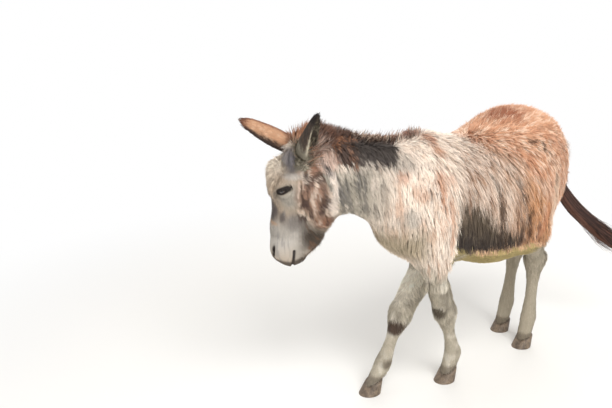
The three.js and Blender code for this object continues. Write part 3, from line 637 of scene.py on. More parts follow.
def coat_colour_with_painted_light(points, regions, normals):
    """The coat's colour at each point, as linear values, with some painted light and shade in it."""
    moved = points + 0.007 * wobble(points, 0.04, 1) + 0.010 * wobble(points, 0.13, 5)
    x, _, z = moved.T
    hang = np.column_stack([points[:, 0] + 0.18 * points[:, 2], points[:, 1], 0.14 * points[:, 2]])
    streak = noise(hang, 0.012, 9)
    thin = noise(hang, 0.006, 10)
    swept = noise(points * (0.16, 1, 1), 0.008, 11)
    fleck = noise(points, 0.026, 12)
    fine = noise(points, 0.009, 14)
    above = above_fringe(moved)
    colour = np.tile(linear("#f1e1d1"), (len(points), 1))
    paint = painter(colour)

    # Cream forehand with faint tan streaks.
    paint("#dcc2ac", 0.7 * ramp(streak + 0.6 * thin, 0.1, 0.8))
    paint("#cfa285", 0.6 * ramp(streak + fleck, 0.7, 1.2))
    # Rust over the loin and rump, deeper along the top.
    line = 1.05 - 0.655 * (x + 0.127)
    top = ramp(z - line + 0.03 * streak, -0.045, 0.035) * ramp(x, -0.20, -0.10)
    paint("#d39e7b", top)
    paint("#f3d7bd", top * (0.5 + 0.4 * ramp(z, 1.13, 1.03)) * ramp(swept + 0.5 * fine, -0.05, 0.5))
    paint("#b67a5a", top * 0.65 * ramp(swept + 0.5 * fine, -0.3, -0.8))
    paint("#e8cfba", 0.45 * top * ramp(x, 0.08, 0.24) * ramp(z, 1.10, 0.98) * ramp(thin + fleck, -0.2, 0.6))
    croup = spot(moved, (0.11, -0.10, 1.12), (0.13, 0.11, 0.035), 0.5)
    paint("#94593f", 0.9 * croup * ramp(swept + 0.5 * fine, 0.6, -0.1))
    paint("#a8704f", 0.6 * top * ramp(fleck + 0.4 * fine, 0.4, 0.9))
    # Streaks of rust, cream and dark brown down the flank behind.
    below = ramp(line - z, -0.03, 0.05) * ramp(x, -0.17, -0.04)
    rusty = 0.25 + 0.60 * ramp(x, -0.06, 0.15) + 0.25 * ramp(z, 0.86, 0.74)
    paint("#cf9a70", below * np.clip(rusty + 0.6 * streak, 0, 1))
    paint("#b67f59", below * ramp(thin + 0.5 * fleck, 0.1, 0.6) * rusty)
    paint("#efd3ba", below * ramp(thin - 0.5 * streak, 0.25, 0.6) * 0.68)
    deep_streaks = ramp(streak + 0.5 * thin, 0.34, 0.68)
    paint("#5b4535", below * deep_streaks * ramp(z, 0.96, 0.74) * ramp(x, 0.30, 0.22))
    flank = ramp(x, -0.32, -0.24) * ramp(x, 0.10, 0.0) * ramp(z, 1.04, 0.94)
    paint("#b8977f", flank * (0.35 + 0.65 * ramp(streak + thin, -0.2, 0.5)))
    paint("#f0dfcf", flank * 0.75 * ramp(thin - 0.4 * streak, 0.25, 0.7))
    paint("#a17c64", flank * 0.7 * ramp(streak + 0.7 * thin, 0.45, 0.9))
    # The dark flank, with a sharp front edge and a ragged top.
    right_edge = -0.22 + (0.83 - z) * 1.35
    dark = ramp(x, -0.314, -0.298) * ramp(x - right_edge - 0.04 * streak - 0.03 * thin, 0.05, -0.03)
    dark *= ramp(z + 0.05 * streak + 0.04 * thin, 0.90, 0.79)
    paint("#5f5244", dark)
    paint("#3d332d", dark * ramp(above, 0.15, 0.04))
    paint("#8d7d68", dark * 0.6 * ramp(thin, 0.25, 0.6) * ramp(above, 0.02, 0.10))
    for side, strokes in STROKES.items():
        here = ramp(points[:, 1], 0.02, -0.02) if side == "left" else ramp(points[:, 1], -0.02, 0.02)
        for start, end, half, text in strokes:
            paint(text, 0.9 * here * stroke(moved, start, end, half))
    # Under the fringe: a lit hem of rust, then the pale olive belly.
    paint("#e6bd98", ramp(above, 0.020, 0.008) * ramp(x, -0.19, -0.12) * ramp(x, 0.30, 0.24) * 0.9)
    paint("#b7a46d", ramp(above, 0.002, -0.008) * ramp(x, -0.32, -0.29))
    paint("#c9bda6", ramp(above, 0.002, -0.008) * ramp(x, 0.24, 0.34) * 0.8)
    # Greyish lower neck and breast.
    grey = ramp(x, -0.50, -0.68) * ramp(z, 1.03, 0.96)
    paint("#aba293", grey)
    paint("#76716b", grey * ramp(streak + 0.5 * thin, -0.1, 0.5) * 0.8)
    paint("#e0d2c4", grey * ramp(streak + 0.5 * thin, -0.35, -0.8) * 0.8)
    neck_side = ramp(x, -0.57, -0.52) * ramp(x, -0.42, -0.47) * ramp(z, 0.97, 0.92)
    paint("#d8b79f", neck_side * ramp(streak, -0.3, 0.4) * 0.7)
    paint("#b8a88f", ramp(z, 0.80, 0.68) * ramp(x, -0.40, -0.46))
    # Dark blotch under the mane: speckled edge, with rusty strands in front and behind.
    edge = np.interp(x, *np.array(BLOTCH_EDGE).T)
    forward = ramp(x, -0.355, -0.40) * is_in(regions, "neck", "trunk", "head")
    paint("#a0968a", 0.6 * spot(moved, (-0.515, -0.12, 1.00), (0.060, 0.10, 0.030), 0.4))
    blotch = forward * ramp(z - edge, -0.012, 0.004) * ramp(fine + (z - edge) / 0.016, 0.1, 0.9)
    paint("#4a423d", blotch)
    paint("#6f6259", blotch * 0.5 * ramp(thin, 0.3, 0.8))
    paint("#8b5d48", blotch * ramp(z, 1.045, 1.075) * ramp(x, -0.56, -0.46) * ramp(fine, -0.8, 0.3))
    front_part = blotch * ramp(x, -0.65, -0.70)
    paint("#4b372d", front_part * 0.8)
    paint("#a3755a", front_part * ramp(streak + fine, 0.35, 0.9) * 0.85)
    for center, radii, text, strength in BODY_PATCHES:
        paint(text, strength * spot(moved, center, radii))
    # Whitish legs with dark hair in front, below the knees.
    leg = is_in(regions, "foreleg", "hindleg")
    hem = is_in(regions, "trunk") * ramp(x, -0.12, -0.17) * ramp(points[:, 2], 0.64, 0.57)
    lower = np.maximum(leg, hem) * ramp(z + 0.05 * streak, 0.66, 0.50)
    paint("#c0b6a3", lower)
    paint("#968c7e", lower * ramp(fleck + 0.5 * streak, 0.15, 0.7) * 0.6)
    paint("#e4dccd", lower * ramp(fleck - 0.5 * streak, -0.1, -0.6) * 0.6)
    paint("#a0967f", lower * ramp(x, 0.15, 0.25) * 0.75)
    # Painted light: the upper right foreleg is painted near white, against the body's shadow on it.
    paint("#fff6e4", leg * ramp(points[:, 1], -0.06, -0.02) * ramp(x, -0.2, -0.25) * ramp(z, 0.34, 0.44))
    rear = ramp(x, 0.22, 0.30) * ramp(z + 0.03 * streak, 0.60, 0.53)
    paint("#b7ac98", rear)
    for center, radii, text, strength in LEG_PATCHES:
        paint(text, strength * leg * spot(moved, center, radii))
    paint("#6a5d4e", 0.7 * leg * ramp(z, 0.085, 0.065))

    # The head has its own patches.
    head = on_head(moved)
    head[:, 2] = np.abs(head[:, 2])
    on_face = np.tile(linear("#c4b19c"), (len(points), 1))
    paint = painter(on_face)
    for center, radii, text, strength in HEAD_PATCHES:
        paint(text, strength * spot(head, center, radii, 0.5))
    # Strands of cream and dark brown on the cheek, cream ones on the forehead, brown in the beard.
    squeezed = points - 0.84 * (points @ HEAD_DOWN)[:, None] * HEAD_DOWN
    wisp = noise(squeezed, 0.0065, 41) + 0.6 * noise(squeezed, 0.012, 42)
    front, down = head[:, 0], head[:, 1]
    cheek = ramp(front, 34, 12) * ramp(front, -100, -84) * ramp(down, 15, 60) * ramp(down, 290, 240)
    paint("#54413a", 0.9 * cheek * ramp(wisp, 0.02, 0.40) * ramp(down, 30, 75))
    paint("#edd9c7", 0.85 * cheek * ramp(wisp, -0.25, -0.65))
    paint("#f0e2d2", 0.7 * spot(head, (112, 2, 0), (60, 80, 62), 0.4) * ramp(wisp, -0.05, -0.5))
    paint("#8f745f", 0.5 * spot(head, (112, 2, 0), (60, 80, 62), 0.4) * ramp(wisp, 0.12, 0.6))
    beard = ramp(front, 20, -5) * ramp(down, 255, 290)
    paint("#8a6247", 0.6 * beard * ramp(wisp, 0.1, 0.6))
    paint("#8f8a88", 0.5 * ramp(front, 40, 60) * ramp(wisp, 0.2, 0.7) * ramp(down, 120, 150))
    exact = on_head(points)
    for side in ("left", "right"):
        ahead, over, out = eye_coordinates(points, side).T
        over = np.where(over > 0, over / SLIT[1], over / SLIT[2])
        ring = np.hypot(np.where(ahead > 0, ahead / 0.019, ahead / 0.023), over) + 9 * (out < 0)
        paint("#8c8173", 0.6 * ramp(ring, 3.0, 1.8))
        paint("#2d2622", ramp(ring, 2.15, 1.55))
    # Painted shade in the slit of each nostril.
    paint("#2c2522", nostril_share(*exact.T) * 3.2)
    # Painted shadow in the groove along the line of the mouth.
    paint("#373130", ramp(mouth_gap(exact[:, 0], exact[:, 1]), 8, 3))
    paint("#4d4238", 0.9 * ramp(exact[:, 1] + 0.30 * np.abs(exact[:, 0] - 62), 424, 442))
    share = head_share(points, regions)[:, None]
    colour = colour * (1 - share) + on_face * share
    paint = painter(colour)
    # Behind the ear the hair is pale and streaked, painted paler still as painted light against the
    # ear's shadow; a dark seam runs down behind the jaw's pale edge.
    behind_ear = spot(head, (-54, -46, 72), (62, 54, 50), 0.45)
    paint("#e6cdbc", behind_ear)
    paint("#f0e0d4", 0.8 * behind_ear * ramp(wisp, 0.1, 0.5))
    paint("#7d5f52", 0.6 * behind_ear * ramp(wisp, -0.15, -0.6))
    side_on = np.column_stack([front, 0 * front, down]) / 1000
    flat = ramp(head[:, 2], 18, 34)
    paint("#55504e", 0.95 * flat * stroke(side_on, (-0.052, 0.012), (-0.106, 0.095), 0.014))
    paint("#6c6864", 0.9 * flat * stroke(side_on, (-0.106, 0.095), (-0.138, 0.170), 0.015))
    for start, end in (((-0.078, 0.055), (-0.096, 0.098)), ((-0.096, 0.098), (-0.104, 0.149)),
                       ((-0.104, 0.149), (-0.096, 0.210))):
        paint("#efe1d4", 0.95 * flat * stroke(side_on, start, end, 0.013) * ramp(wisp, 0.8, 0.3))

    # Ears: one brown behind and one rusty, with a dark tip, pale fringed margins and an olive hollow
    # over painted shade.
    for node in EARS:
        here = is_in(regions, node)
        if not here.any():
            continue
        colour[here] = ear_colour(points[here], normals[here], node)
    return colour


def ear_colour(points, normals, node):
    """An ear's colour, from its place along and across the leaf, with painted shade in its hollow."""
    reach, side, hollow, _ = ear_place(points, node)
    side = side / np.interp(reach, EAR_STOPS, ear_widths[node])
    lowest, highest = (np.interp(reach, EAR_STOPS, lifts) for lifts in ear_lifts[node])
    lift = ((points - ear_roots[node]) @ hollow - lowest) / np.maximum(highest - lowest, 0.004)
    inner = ear_inner(points, normals, node)
    long = noise((points - points.mean(0)) * (1, 1, 0.4), 0.008, 31)
    fine = noise(points, 0.006, 32)
    colour = np.zeros((len(points), 3))
    paint = painter(colour)
    if node == "ear_left":
        paint("#4a3f38", 1.0)
        paint("#6f5a49", 0.6 * ramp(long, 0.1, 0.7))
        paint("#b08b6c", 0.8 * ramp(np.abs(side + 0.05), 0.22, 0.05) * ramp(reach, 0.45, 0.75))
        paint("#8d8575", ramp(reach + 0.04 * fine, 0.58, 0.48))
        margin = ramp(lift + 0.06 * fine, 0.78, 0.92) * ramp(side, 0.2, 0.4)
        paint("#d3c8b2", margin * ramp(reach, 0.92, 0.80) * ramp(reach, 0.44, 0.54))
        paint("#3a312c", ramp(side, -0.60, -0.80))
    else:
        paint("#c89a78", 1.0)
        paint("#dcb899", 0.7 * ramp(long + fine, 0.1, 0.8) * ramp(side, 0.55, 0.25))
        paint("#8a563d", 0.85 * ramp(side + 0.12 * fine, 0.30, 0.75))
        paint("#8d5f46", ramp(reach, 0.34, 0.14))
        paint("#463630", ramp(side + 0.15 * fine, -0.46, -0.76))
        paint("#d9cbb2", 0.8 * ramp(side, -0.92, -1.0) * ramp(reach, 0.95, 0.8))
        paint("#844f39", 0.9 * ramp(reach, 0.82, 0.95))
        paint("#4a3c33", ramp(reach, 0.24, 0.06) * ramp(side, 0.1, -0.4))
    if inner.any():
        kept = colour.copy()
        # The hollow is first painted dark, as painted shade, and olive hair goes over it.
        paint("#433a32", 1.0)
        paint("#a39a82", 0.75 * ramp(long + 0.5 * fine, 0.0, 0.8))
        paint("#d2c8b2", ramp(np.abs(side), 0.62, 0.9) * ramp(reach, 0.9, 0.7))
        colour[~inner] = kept[~inner]
    paint("#2b2421", ramp(reach + 0.03 * fine, 0.86, 0.95) * (1.0 if node == "ear_left" else 0.35))
    return colour


def head_share(points, regions):
    """1 on the head and 0 on the neck, over a soft edge."""
    place = on_head(points)
    behind = ramp(place[:, 0] - 0.35 * place[:, 1], -190, -165)
    return np.where(is_in(regions, "head", "ear"), 1.0, 0.0) * np.clip(behind + 0.5, 0, 1)


skin_colours = coat_colour_with_painted_light(skin_points, regions, skin_normals)
skin = placed("skin", bpy.data.meshes.new("skin"))
skin.data.from_pydata(skin_points.tolist(), [], skin_triangles.tolist())
skin.data.shade_smooth()


def set_colours(mesh, colours, name="coat"):
    """Stores one linear colour for each point of a mesh."""
    layer = mesh.color_attributes.new(name, "FLOAT_COLOR", "POINT")
    layer.data.foreach_set("color", np.column_stack([colours, np.ones(len(colours))]).ravel())


# The skin is set to 0.85 of the coat's colour: painted shade between the tufts.
set_colours(skin.data, 0.85 * skin_colours)


def add_node(material, kind, links=(), **settings):
    """Adds a node to a material or world: settings are its properties or inputs, links its wires."""
    node = material.node_tree.nodes.new(kind)
    for name, value in settings.items():
        if name in node.bl_rna.properties:
            setattr(node, name, value)
        else:
            node.inputs[name.replace("_", " ")].default_value = value
    for name, source in links:
        material.node_tree.links.new(source, node.inputs[name])
    return node


def new_material(name):
    """An empty node material and its output node."""
    material = bpy.data.materials.new(name)
    material.use_nodes = True
    material.node_tree.nodes.clear()
    return material, add_node(material, "ShaderNodeOutputMaterial")


# Short hair over skin: matt, with fine hair grain about a millimetre wide.
hide, hide_output = new_material("hair-covered hide")
attribute = add_node(hide, "ShaderNodeAttribute", attribute_name="coat")
place = add_node(hide, "ShaderNodeTexCoord")
squeeze = add_node(hide, "ShaderNodeMapping", [("Vector", place.outputs["Object"])], Scale=(1, 1, 0.3))
grain = add_node(
    hide, "ShaderNodeTexNoise", [("Vector", squeeze.outputs["Vector"])], Scale=700.0, Detail=3.0
)
raised = add_node(hide, "ShaderNodeBump", [("Height", grain.outputs["Fac"])], Strength=0.5, Distance=0.001)
hide_shader = add_node(
    hide, "ShaderNodeBsdfPrincipled",
    [("Base Color", attribute.outputs["Color"]), ("Normal", raised.outputs["Normal"])],
    Roughness=0.8, Specular_IOR_Level=0.25
)
hide.node_tree.links.new(hide_shader.outputs["BSDF"], hide_output.inputs["Surface"])
skin.data.materials.append(hide)
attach(skin, "root")
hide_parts(*FLESH, *EARS)

# ---- Coat: how the hair lies -----------------------------------------------------------------
# Hair grows from the skin in tufts that lean over and lie back along the body. Long on the flank
# and rump, upright on the crest, and short on face and legs.


def hair_length(points, regions):
    """Length of the tufts, in metres."""
    length = np.full(len(points), 0.040)
    length[is_in(regions, "hindquarters")] = 0.050
    flank = is_in(regions, "trunk", "hindquarters")
    above = above_fringe(points)
    long = ramp(points[:, 2], 1.02, 0.88)
    length[flank] += 0.045 * long[flank] * ramp(points[flank, 0], -0.48, -0.32)
    length[flank] = np.minimum(length[flank], 0.024 + 1.02 * np.maximum(above[flank], 0))
    length[flank & (above < 0.004)] = 0.022
    length[is_in(regions, "tail_dock")] = 0.050
    length[is_in(regions, *LOWER_LEGS)] = 0.014
    upper = is_in(regions, *UPPER_LEGS)
    elbow = ramp(points[:, 2], 0.56, 0.66) * ramp(points[:, 0], -0.42, -0.36)
    elbow = elbow * ramp(points[:, 0], 0.0, -0.1)
    length[upper] = 0.026 + (0.014 * elbow[upper] + 0.012 * ramp(points[upper, 2], 0.40, 0.50))
    shoulder = is_in(regions, "trunk") & (points[:, 0] < -0.32)
    length[shoulder] = np.maximum(length[shoulder], 0.040 + 0.020 * ramp(points[shoulder, 0], -0.44, -0.36))
    front, down, _ = on_head(points).T
    face = is_in(regions, "head")
    short = 0.012 + 0.032 * ramp(front, 78, 112) * ramp(down, 165, 110)
    beard = 0.022 * ramp(front, 15, -30) * ramp(down, 225, 290)
    short += 0.015 * ramp(front, 30, -20) * ramp(down, 30, 90) + beard
    short += 0.022 * ramp(down, 30, 0)
    short -= 0.006 * ramp(down, 300, 350) * ramp(front, 10, 40)
    length[face] = short[face]
    length[is_in(regions, "ear")] = 0.016
    return length


def hair_lay(points, normals, regions):
    """The direction in which the hair lies, along the skin."""
    x, _, z = points.T
    slant = np.interp(x, (-0.35, -0.05, 0.15, 0.40), (0.08, 0.16, 0.42, 0.50))
    flow = np.column_stack([slant, 0 * x, -1 + 0 * x])
    back = ramp(z, 1.00, 1.09)[:, None] * ramp(x, -0.10, 0.08)[:, None]
    flow = flow * (1 - back) + np.array((1.0, 0.0, -0.35)) * back
    withers = ramp(z, 1.05, 1.10)[:, None] * ramp(x, -0.42, -0.30)[:, None] * (1 - back)
    flow = flow * (1 - withers) + np.array((0.8, 0.0, -0.5)) * withers
    under = (normals[:, 2] < -0.6) & (z > 0.45)
    flow[under] = (0.95, 0.0, -0.3)
    flow[is_in(regions, "foreleg", "hindleg")] = (0.10, 0.0, -1.0)
    flow[is_in(regions, "tail_dock")] = (0.15, -0.05, -1.0)
    neck = is_in(regions, "neck")
    flow[neck] = (0.18, 0.0, -0.98)
    front, down, _ = on_head(points).T
    face = is_in(regions, "head")
    back_share = ramp(front, 60, -20)[:, None]
    on_face = HEAD_DOWN * (1 - 0.3 * back_share) - HEAD_FRONT * 0.55 * back_share
    brow = (ramp(front, 80, 110) * ramp(down, 150, 100))[:, None]
    on_face = on_face + HEAD_FRONT * 0.5 * brow
    flow[face] = on_face[face]
    for node in EARS:
        root, tip = ear_axes[node]
        flow[is_in(regions, node)] = unit(tip - root)
    return flow


def along_skin(flow, normals):
    """Turns directions into the plane of the skin."""
    return unit(flow - (flow * normals).sum(1)[:, None] * normals)


skin_depth = coat_depth(skin_points, regions)
skin_depth[is_in(regions, "ear")] = 0.0030
skin_depth = diffused(skin_depth, skin_edges, 10)
skin_length = diffused(hair_length(skin_points, regions), skin_edges, 10)
skin_lay = diffused(hair_lay(skin_points, skin_normals, regions), skin_edges, 20)
skin_lay = skin_lay + 0.24 * wobble(skin_points, 0.06, 21) + 0.14 * wobble(skin_points, 0.20, 25)
skin_lay = along_skin(skin_lay, skin_normals)
lid_steps = np.tile(np.repeat(LID_RINGS, LID_SIDES), 2)
skin_depth[lid_start:] = 0.0012 + 0.002 * lid_steps
skin_length[lid_start:] = 0.005 + 0.007 * lid_steps
skin_crest = crest_share(skin_points) * is_in(regions, "neck", "head", "trunk")
skin_crest = skin_crest * ramp(on_head(skin_points)[:, 0], 46, 32)
skin_crest = skin_crest * ramp(skin_normals[:, 2], 0.0, 0.5) * ramp(skin_points[:, 0], -0.35, -0.40)
skin_crest = diffused(skin_crest, skin_edges, 2)

# ---- Coat: the map that lies behind the tufts ------------------------------------------------
# The skin is unrolled about the middle line of each part, into a rectangle of its own. A tuft's
# patch of the map lies at its root's place there.


def unrolled(points, axis, corner, size):
    """A function that unrolls points about the middle line of the given ones."""
    axis = unit(axis)
    side = unit(np.cross(axis, (0.31, 0.22, 0.93) if abs(axis[2]) < 0.8 else (1.0, 0.1, 0.0)))
    other = np.cross(axis, side)
    reach = points @ axis
    low, high = reach.min(), reach.max()
    stops = np.linspace(low, high, 15)
    near = [np.abs(reach - stop) <= (high - low) / 20 + 1e-6 for stop in stops]
    centers = np.array([points[mask].mean(0) if mask.any() else points.mean(0) for mask in near])

    def place(found):
        t = found @ axis
        center = np.stack([np.interp(t, stops, column) for column in centers.T], 1)
        offset = found - center
        turn = np.arctan2(offset @ other, offset @ side) / (2 * math.pi) + 0.5
        share = np.clip((t - low) / (high - low), 0, 1)
        return np.column_stack([corner[0] + size[0] * share, corner[1] + size[1] * turn])

    return place


MAP_PARTS = [
    (("neck", "trunk", "hindquarters"), (1, 0, 0), (0.01, 0.01), (0.62, 0.58)),
    (("head",), HEAD_DOWN, (0.66, 0.01), (0.33, 0.40)),
    (("tail_dock",), (0, 0, 1), (0.66, 0.44), (0.15, 0.15)),
    (("ear_left",), ear_axes["ear_left"][1] - ear_axes["ear_left"][0], (0.83, 0.44), (0.16, 0.07)),
    (("ear_right",), ear_axes["ear_right"][1] - ear_axes["ear_right"][0], (0.83, 0.53), (0.16, 0.06)),
]
MAP_PARTS += [((leg,), (0, 0, 1), (0.01 + 0.245 * i, 0.62), (0.235, 0.36)) for i, leg in enumerate(LEGS)]
skin_maps = [
    (names, unrolled(skin_points[is_in(regions, *names)], axis, corner, size))
    for names, axis, corner, size in MAP_PARTS
]


def map_places(points, owners):
    """Each root's place on the unrolled skin."""
    places = np.zeros((len(points), 2))
    for names, place in skin_maps:
        here = is_in(owners, *names)
        if here.any():
            places[here] = place(points[here])
    return places


# ---- Coat: tufts -----------------------------------------------------------------------------
# A tuft is a thin curved blade of hair that narrows to a tip. Neighbours lean together into locks,
# and each lock has its own tone.

corner_a, corner_b, corner_c = (skin_points[skin_triangles[:, i]] for i in range(3))
triangle_areas = np.linalg.norm(np.cross(corner_b - corner_a, corner_c - corner_a), axis=1) / 2
triangle_regions = regions[skin_triangles[:, 0]]
# Stops along a tuft, and its width, its painted shade and highlight (darker at the root, lighter at
# the tip) and its share of the tip's colour there.
TUFT_STOPS = np.array([0.0, 0.36, 0.72, 1.0])
TUFT_WIDTHS = np.array([0.75, 1.0, 0.7])
TUFT_SHADE_AND_HIGHLIGHT = np.array([0.60, 0.86, 1.03, 1.10])
TIP_SHARE = np.array([0.0, 0.12, 0.65, 1.0])
ROOT_DEPTH = 0.0015     # how far a tuft's foot stands under the skin
PATCH = 0.003           # the size of a tuft's patch of the map


def locks(points, size, seed):
    """Each point's nearest center of a scattered grid, and that center's random value."""
    cell = np.floor(points / size).astype(np.int64)
    best = np.full(len(points), 9.0)
    centers = points.copy()
    values = np.zeros(len(points))
    for step in np.ndindex(3, 3, 3):
        here = cell + np.array(step) - 1
        keys = []
        for axis in range(4):
            key = scrambled((here * HASH_PRIMES).sum(1) + 7919 * axis + 104729 * seed)
            keys.append((key >> 8 & 0xFFFF) / 65536)
        center = (here + np.stack(keys[:3], 1)) * size
        gap = np.linalg.norm(center - points, axis=1)
        closer = gap < best
        best = np.where(closer, gap, best)
        centers[closer] = center[closer]
        values[closer] = keys[3][closer]
    return centers, values


def blades(name, spines, across, halves, shades, facing, places):
    """One mesh of many blades, each a row of stations with a tip, with their places on the map."""
    count, stations = spines.shape[:2]
    each = 2 * stations - 1
    offset = halves[..., None] * across
    corners = np.empty((count, each, 3))
    corners[:, 0:each - 1:2] = spines[:, :-1] - offset
    corners[:, 1:each - 1:2] = spines[:, :-1] + offset
    corners[:, -1] = spines[:, -1]
    corners[..., 2] = np.maximum(corners[..., 2], 0.002)
    faces = [[2 * i, 2 * i + 2, 2 * i + 3, 2 * i + 1] for i in range(stations - 2)]
    faces.append([each - 3, each - 1, each - 2])
    outline = np.concatenate(faces)
    mesh = bpy.data.meshes.new(name)
    mesh.vertices.add(count * each)
    mesh.vertices.foreach_set("co", corners.ravel())
    mesh.loops.add(count * len(outline))
    loops = (np.arange(count)[:, None] * each + outline).ravel()
    mesh.loops.foreach_set("vertex_index", loops.astype(np.int32))
    mesh.polygons.add(count * len(faces))
    starts = (np.arange(count)[:, None] * len(outline) + 4 * np.arange(len(faces))).ravel()
    mesh.polygons.foreach_set("loop_start", starts.astype(np.int32))
    mesh.update(calc_edges=True)
    mesh.shade_smooth()
    rows = np.append(np.repeat(np.arange(stations - 1), 2), stations - 1)
    flat = np.cross(np.gradient(spines, axis=1), np.concatenate([across, across[:, -1:]], axis=1))
    soft = unit(0.55 * facing + 0.45 * unit(flat))
    mesh.normals_split_custom_set_from_vertices(soft[:, rows].reshape(-1, 3))
    set_colours(mesh, np.clip(shades[:, rows], 0, 1).reshape(-1, 3))
    patch = np.column_stack([np.tile([-0.5, 0.5], stations)[:each], rows / (stations - 1) - 0.5]) * PATCH
    patch[-1, 0] = 0
    layer = mesh.uv_layers.new(name="OFBake")
    spots = (places[:, None] + patch[outline]).reshape(-1, 2)
    layer.data.foreach_set("uv", np.clip(spots, 0.001, 0.999).ravel())
    return placed(name, mesh)


# Hair: matt at this scale, with a faint satin along each strand and small changes of tone.
hair, hair_output = new_material("shaggy hair")
attribute = add_node(hair, "ShaderNodeAttribute", attribute_name="coat")
place = add_node(hair, "ShaderNodeTexCoord")
strands = add_node(
    hair, "ShaderNodeTexNoise", [("Vector", place.outputs["Object"])], Scale=420.0, Detail=2.0
)
tone = add_node(
    hair, "ShaderNodeMapRange", [("Value", strands.outputs["Fac"])],
    From_Min=0.3, From_Max=0.7, To_Min=0.84, To_Max=1.12
)
toned = add_node(
    hair, "ShaderNodeVectorMath",
    [(0, attribute.outputs["Color"]), (3, tone.outputs["Result"])], operation="SCALE"
)
hair_shader = add_node(
    hair, "ShaderNodeBsdfPrincipled",
    [("Base Color", toned.outputs["Vector"])], Roughness=0.62, Specular_IOR_Level=0.3
)
hair.node_tree.links.new(hair_shader.outputs["BSDF"], hair_output.inputs["Surface"])


def finish_hair(piece):
    """Gives a piece of the coat its material, body and slot."""
    piece.data.materials.append(hair)
    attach(piece, "root")
    return piece


def grow(name, count, share, seed, width=0.0024, lock=0.020, grain=(0, 0, 0), stand=0.0, lean=None,
         length=None, bend=0.85, tip_colour=None):
    """One piece of the coat: tufts scattered over the skin where share is above 0. They rise by the
    coat's depth, or by the angle stand, and lie with the coat, or towards lean."""
    rng = np.random.default_rng(seed)
    weights = triangle_areas * share[skin_triangles].mean(1)
    faces = rng.choice(len(skin_triangles), count, p=weights / weights.sum())
    part = rng.random((count, 2))
    part[part.sum(1) > 1] = 1 - part[part.sum(1) > 1]
    mix = np.column_stack([1 - part.sum(1), part])[..., None]

    def at_roots(values):
        return (values[skin_triangles[faces]] * (mix if values.ndim > 1 else mix[..., 0])).sum(1)

    roots, normals = at_roots(skin_points), unit(at_roots(skin_normals))
    owners = triangle_regions[faces]
    # The locks are long in the direction of the grain.
    grain = np.array(grain, float)
    squeezed = roots - 0.6 * (roots @ grain)[:, None] * grain
    centers, values = locks(squeezed, lock, seed)
    turn = (values - 0.5)[:, None] * 0.30 + rng.normal(0, 0.08, count)[:, None]
    if lean is None:
        lays = at_roots(skin_lay)
    else:
        lays = np.tile(lean, (count, 1)) + rng.normal(0, 0.25, (count, 3))
    lays = along_skin(lays, normals)
    lays = unit(lays + turn * np.cross(normals, lays))
    lengths = at_roots(skin_length if length is None else length * np.ones(len(skin_points)))
    lengths = lengths * (0.75 + 0.30 * values + 0.20 * rng.random(count))
    depths = at_roots(skin_depth) * (0.60 + 0.40 * rng.random(count)) * (0.92 + 0.16 * values)
    # A tuft bends over as it goes, so it starts more steeply than the line from root to tip.
    rises = np.arcsin(np.clip(depths / lengths, 0.02, 0.95)) * 2.1
    if stand:
        rises = stand + rng.normal(0, 0.14, count)
    # Tips draw together into locks.
    pulls = centers - squeezed
    pulls = pulls - (pulls * normals).sum(1)[:, None] * normals
    pulls = pulls - 0.8 * (pulls * lays).sum(1)[:, None] * lays
    # A tuft takes its colour from the skin where its middle is seen, a little off at random.
    stray = rng.normal(0, 1, (2, count, 1)) * lengths[:, None]
    seen = roots + 0.60 * lengths[:, None] * lays * np.cos(rises)[:, None] + 0.5 * pulls
    seen = seen + 0.16 * stray[0] * lays + 0.06 * stray[1] * np.cross(normals, lays)
    seen[is_in(owners, "ear")] = roots[is_in(owners, "ear")]
    pull_sizes = np.maximum(np.linalg.norm(pulls, axis=1), 1e-6)
    pulls = pulls * 0.62 * np.minimum(1, 0.36 * lengths / pull_sizes)[:, None]
    colours = coat_colour_with_painted_light(seen, owners, normals)
    spread = 1 + 0.10 * (2 * values - 1) + rng.normal(0, 0.07, count)
    colours = colours * np.clip(spread, 0.6, 1.4)[:, None]
    # Each tuft is painted darker at its root, as painted shade, and lighter at its tip, as painted
    # highlight.
    shades = colours[:, None] * TUFT_SHADE_AND_HIGHLIGHT[:, None]
    if tip_colour is not None:
        tips = tip_colour(roots, rng) * spread[:, None]
        shades = shades + (tips[:, None] - shades) * TIP_SHARE[:, None]

    angles = rises[:, None] * (1 - bend * TUFT_STOPS) - 0.12 * bend * TUFT_STOPS
    middles = (angles[:, 1:] + angles[:, :-1]) / 2
    steps = np.diff(TUFT_STOPS)
    foot = np.zeros(count)
    ahead = np.column_stack([foot, np.cumsum(np.cos(middles) * steps, axis=1)]) * lengths[:, None]
    above = np.column_stack([foot, np.cumsum(np.sin(middles) * steps, axis=1)]) * lengths[:, None]
    above = above - ROOT_DEPTH
    spines = roots[:, None] + ahead[..., None] * lays[:, None] + above[..., None] * normals[:, None]
    spines = spines + (TUFT_STOPS ** 1.4)[None, :, None] * pulls[:, None]
    across = np.cross(normals, lays)
    roll = rng.normal(0, 0.30, count)[:, None]
    across = across * np.cos(roll) + normals * np.sin(roll)
    if stand:
        spin = rng.uniform(-1.2, 1.2, count)[:, None]
        across = unit(across * np.cos(spin) + lays * np.sin(spin))
    widths = width * (0.7 + 0.6 * rng.random(count)) * np.clip(lengths / 0.03, 0.5, 1.15)
    halves = TUFT_WIDTHS * widths[:, None] / 2
    facing = np.repeat(normals[:, None], len(TUFT_STOPS), axis=1)
    across = np.repeat(across[:, None], len(TUFT_STOPS) - 1, axis=1)
    return finish_hair(blades(name, spines, across, halves, shades, facing, map_places(roots, owners)))


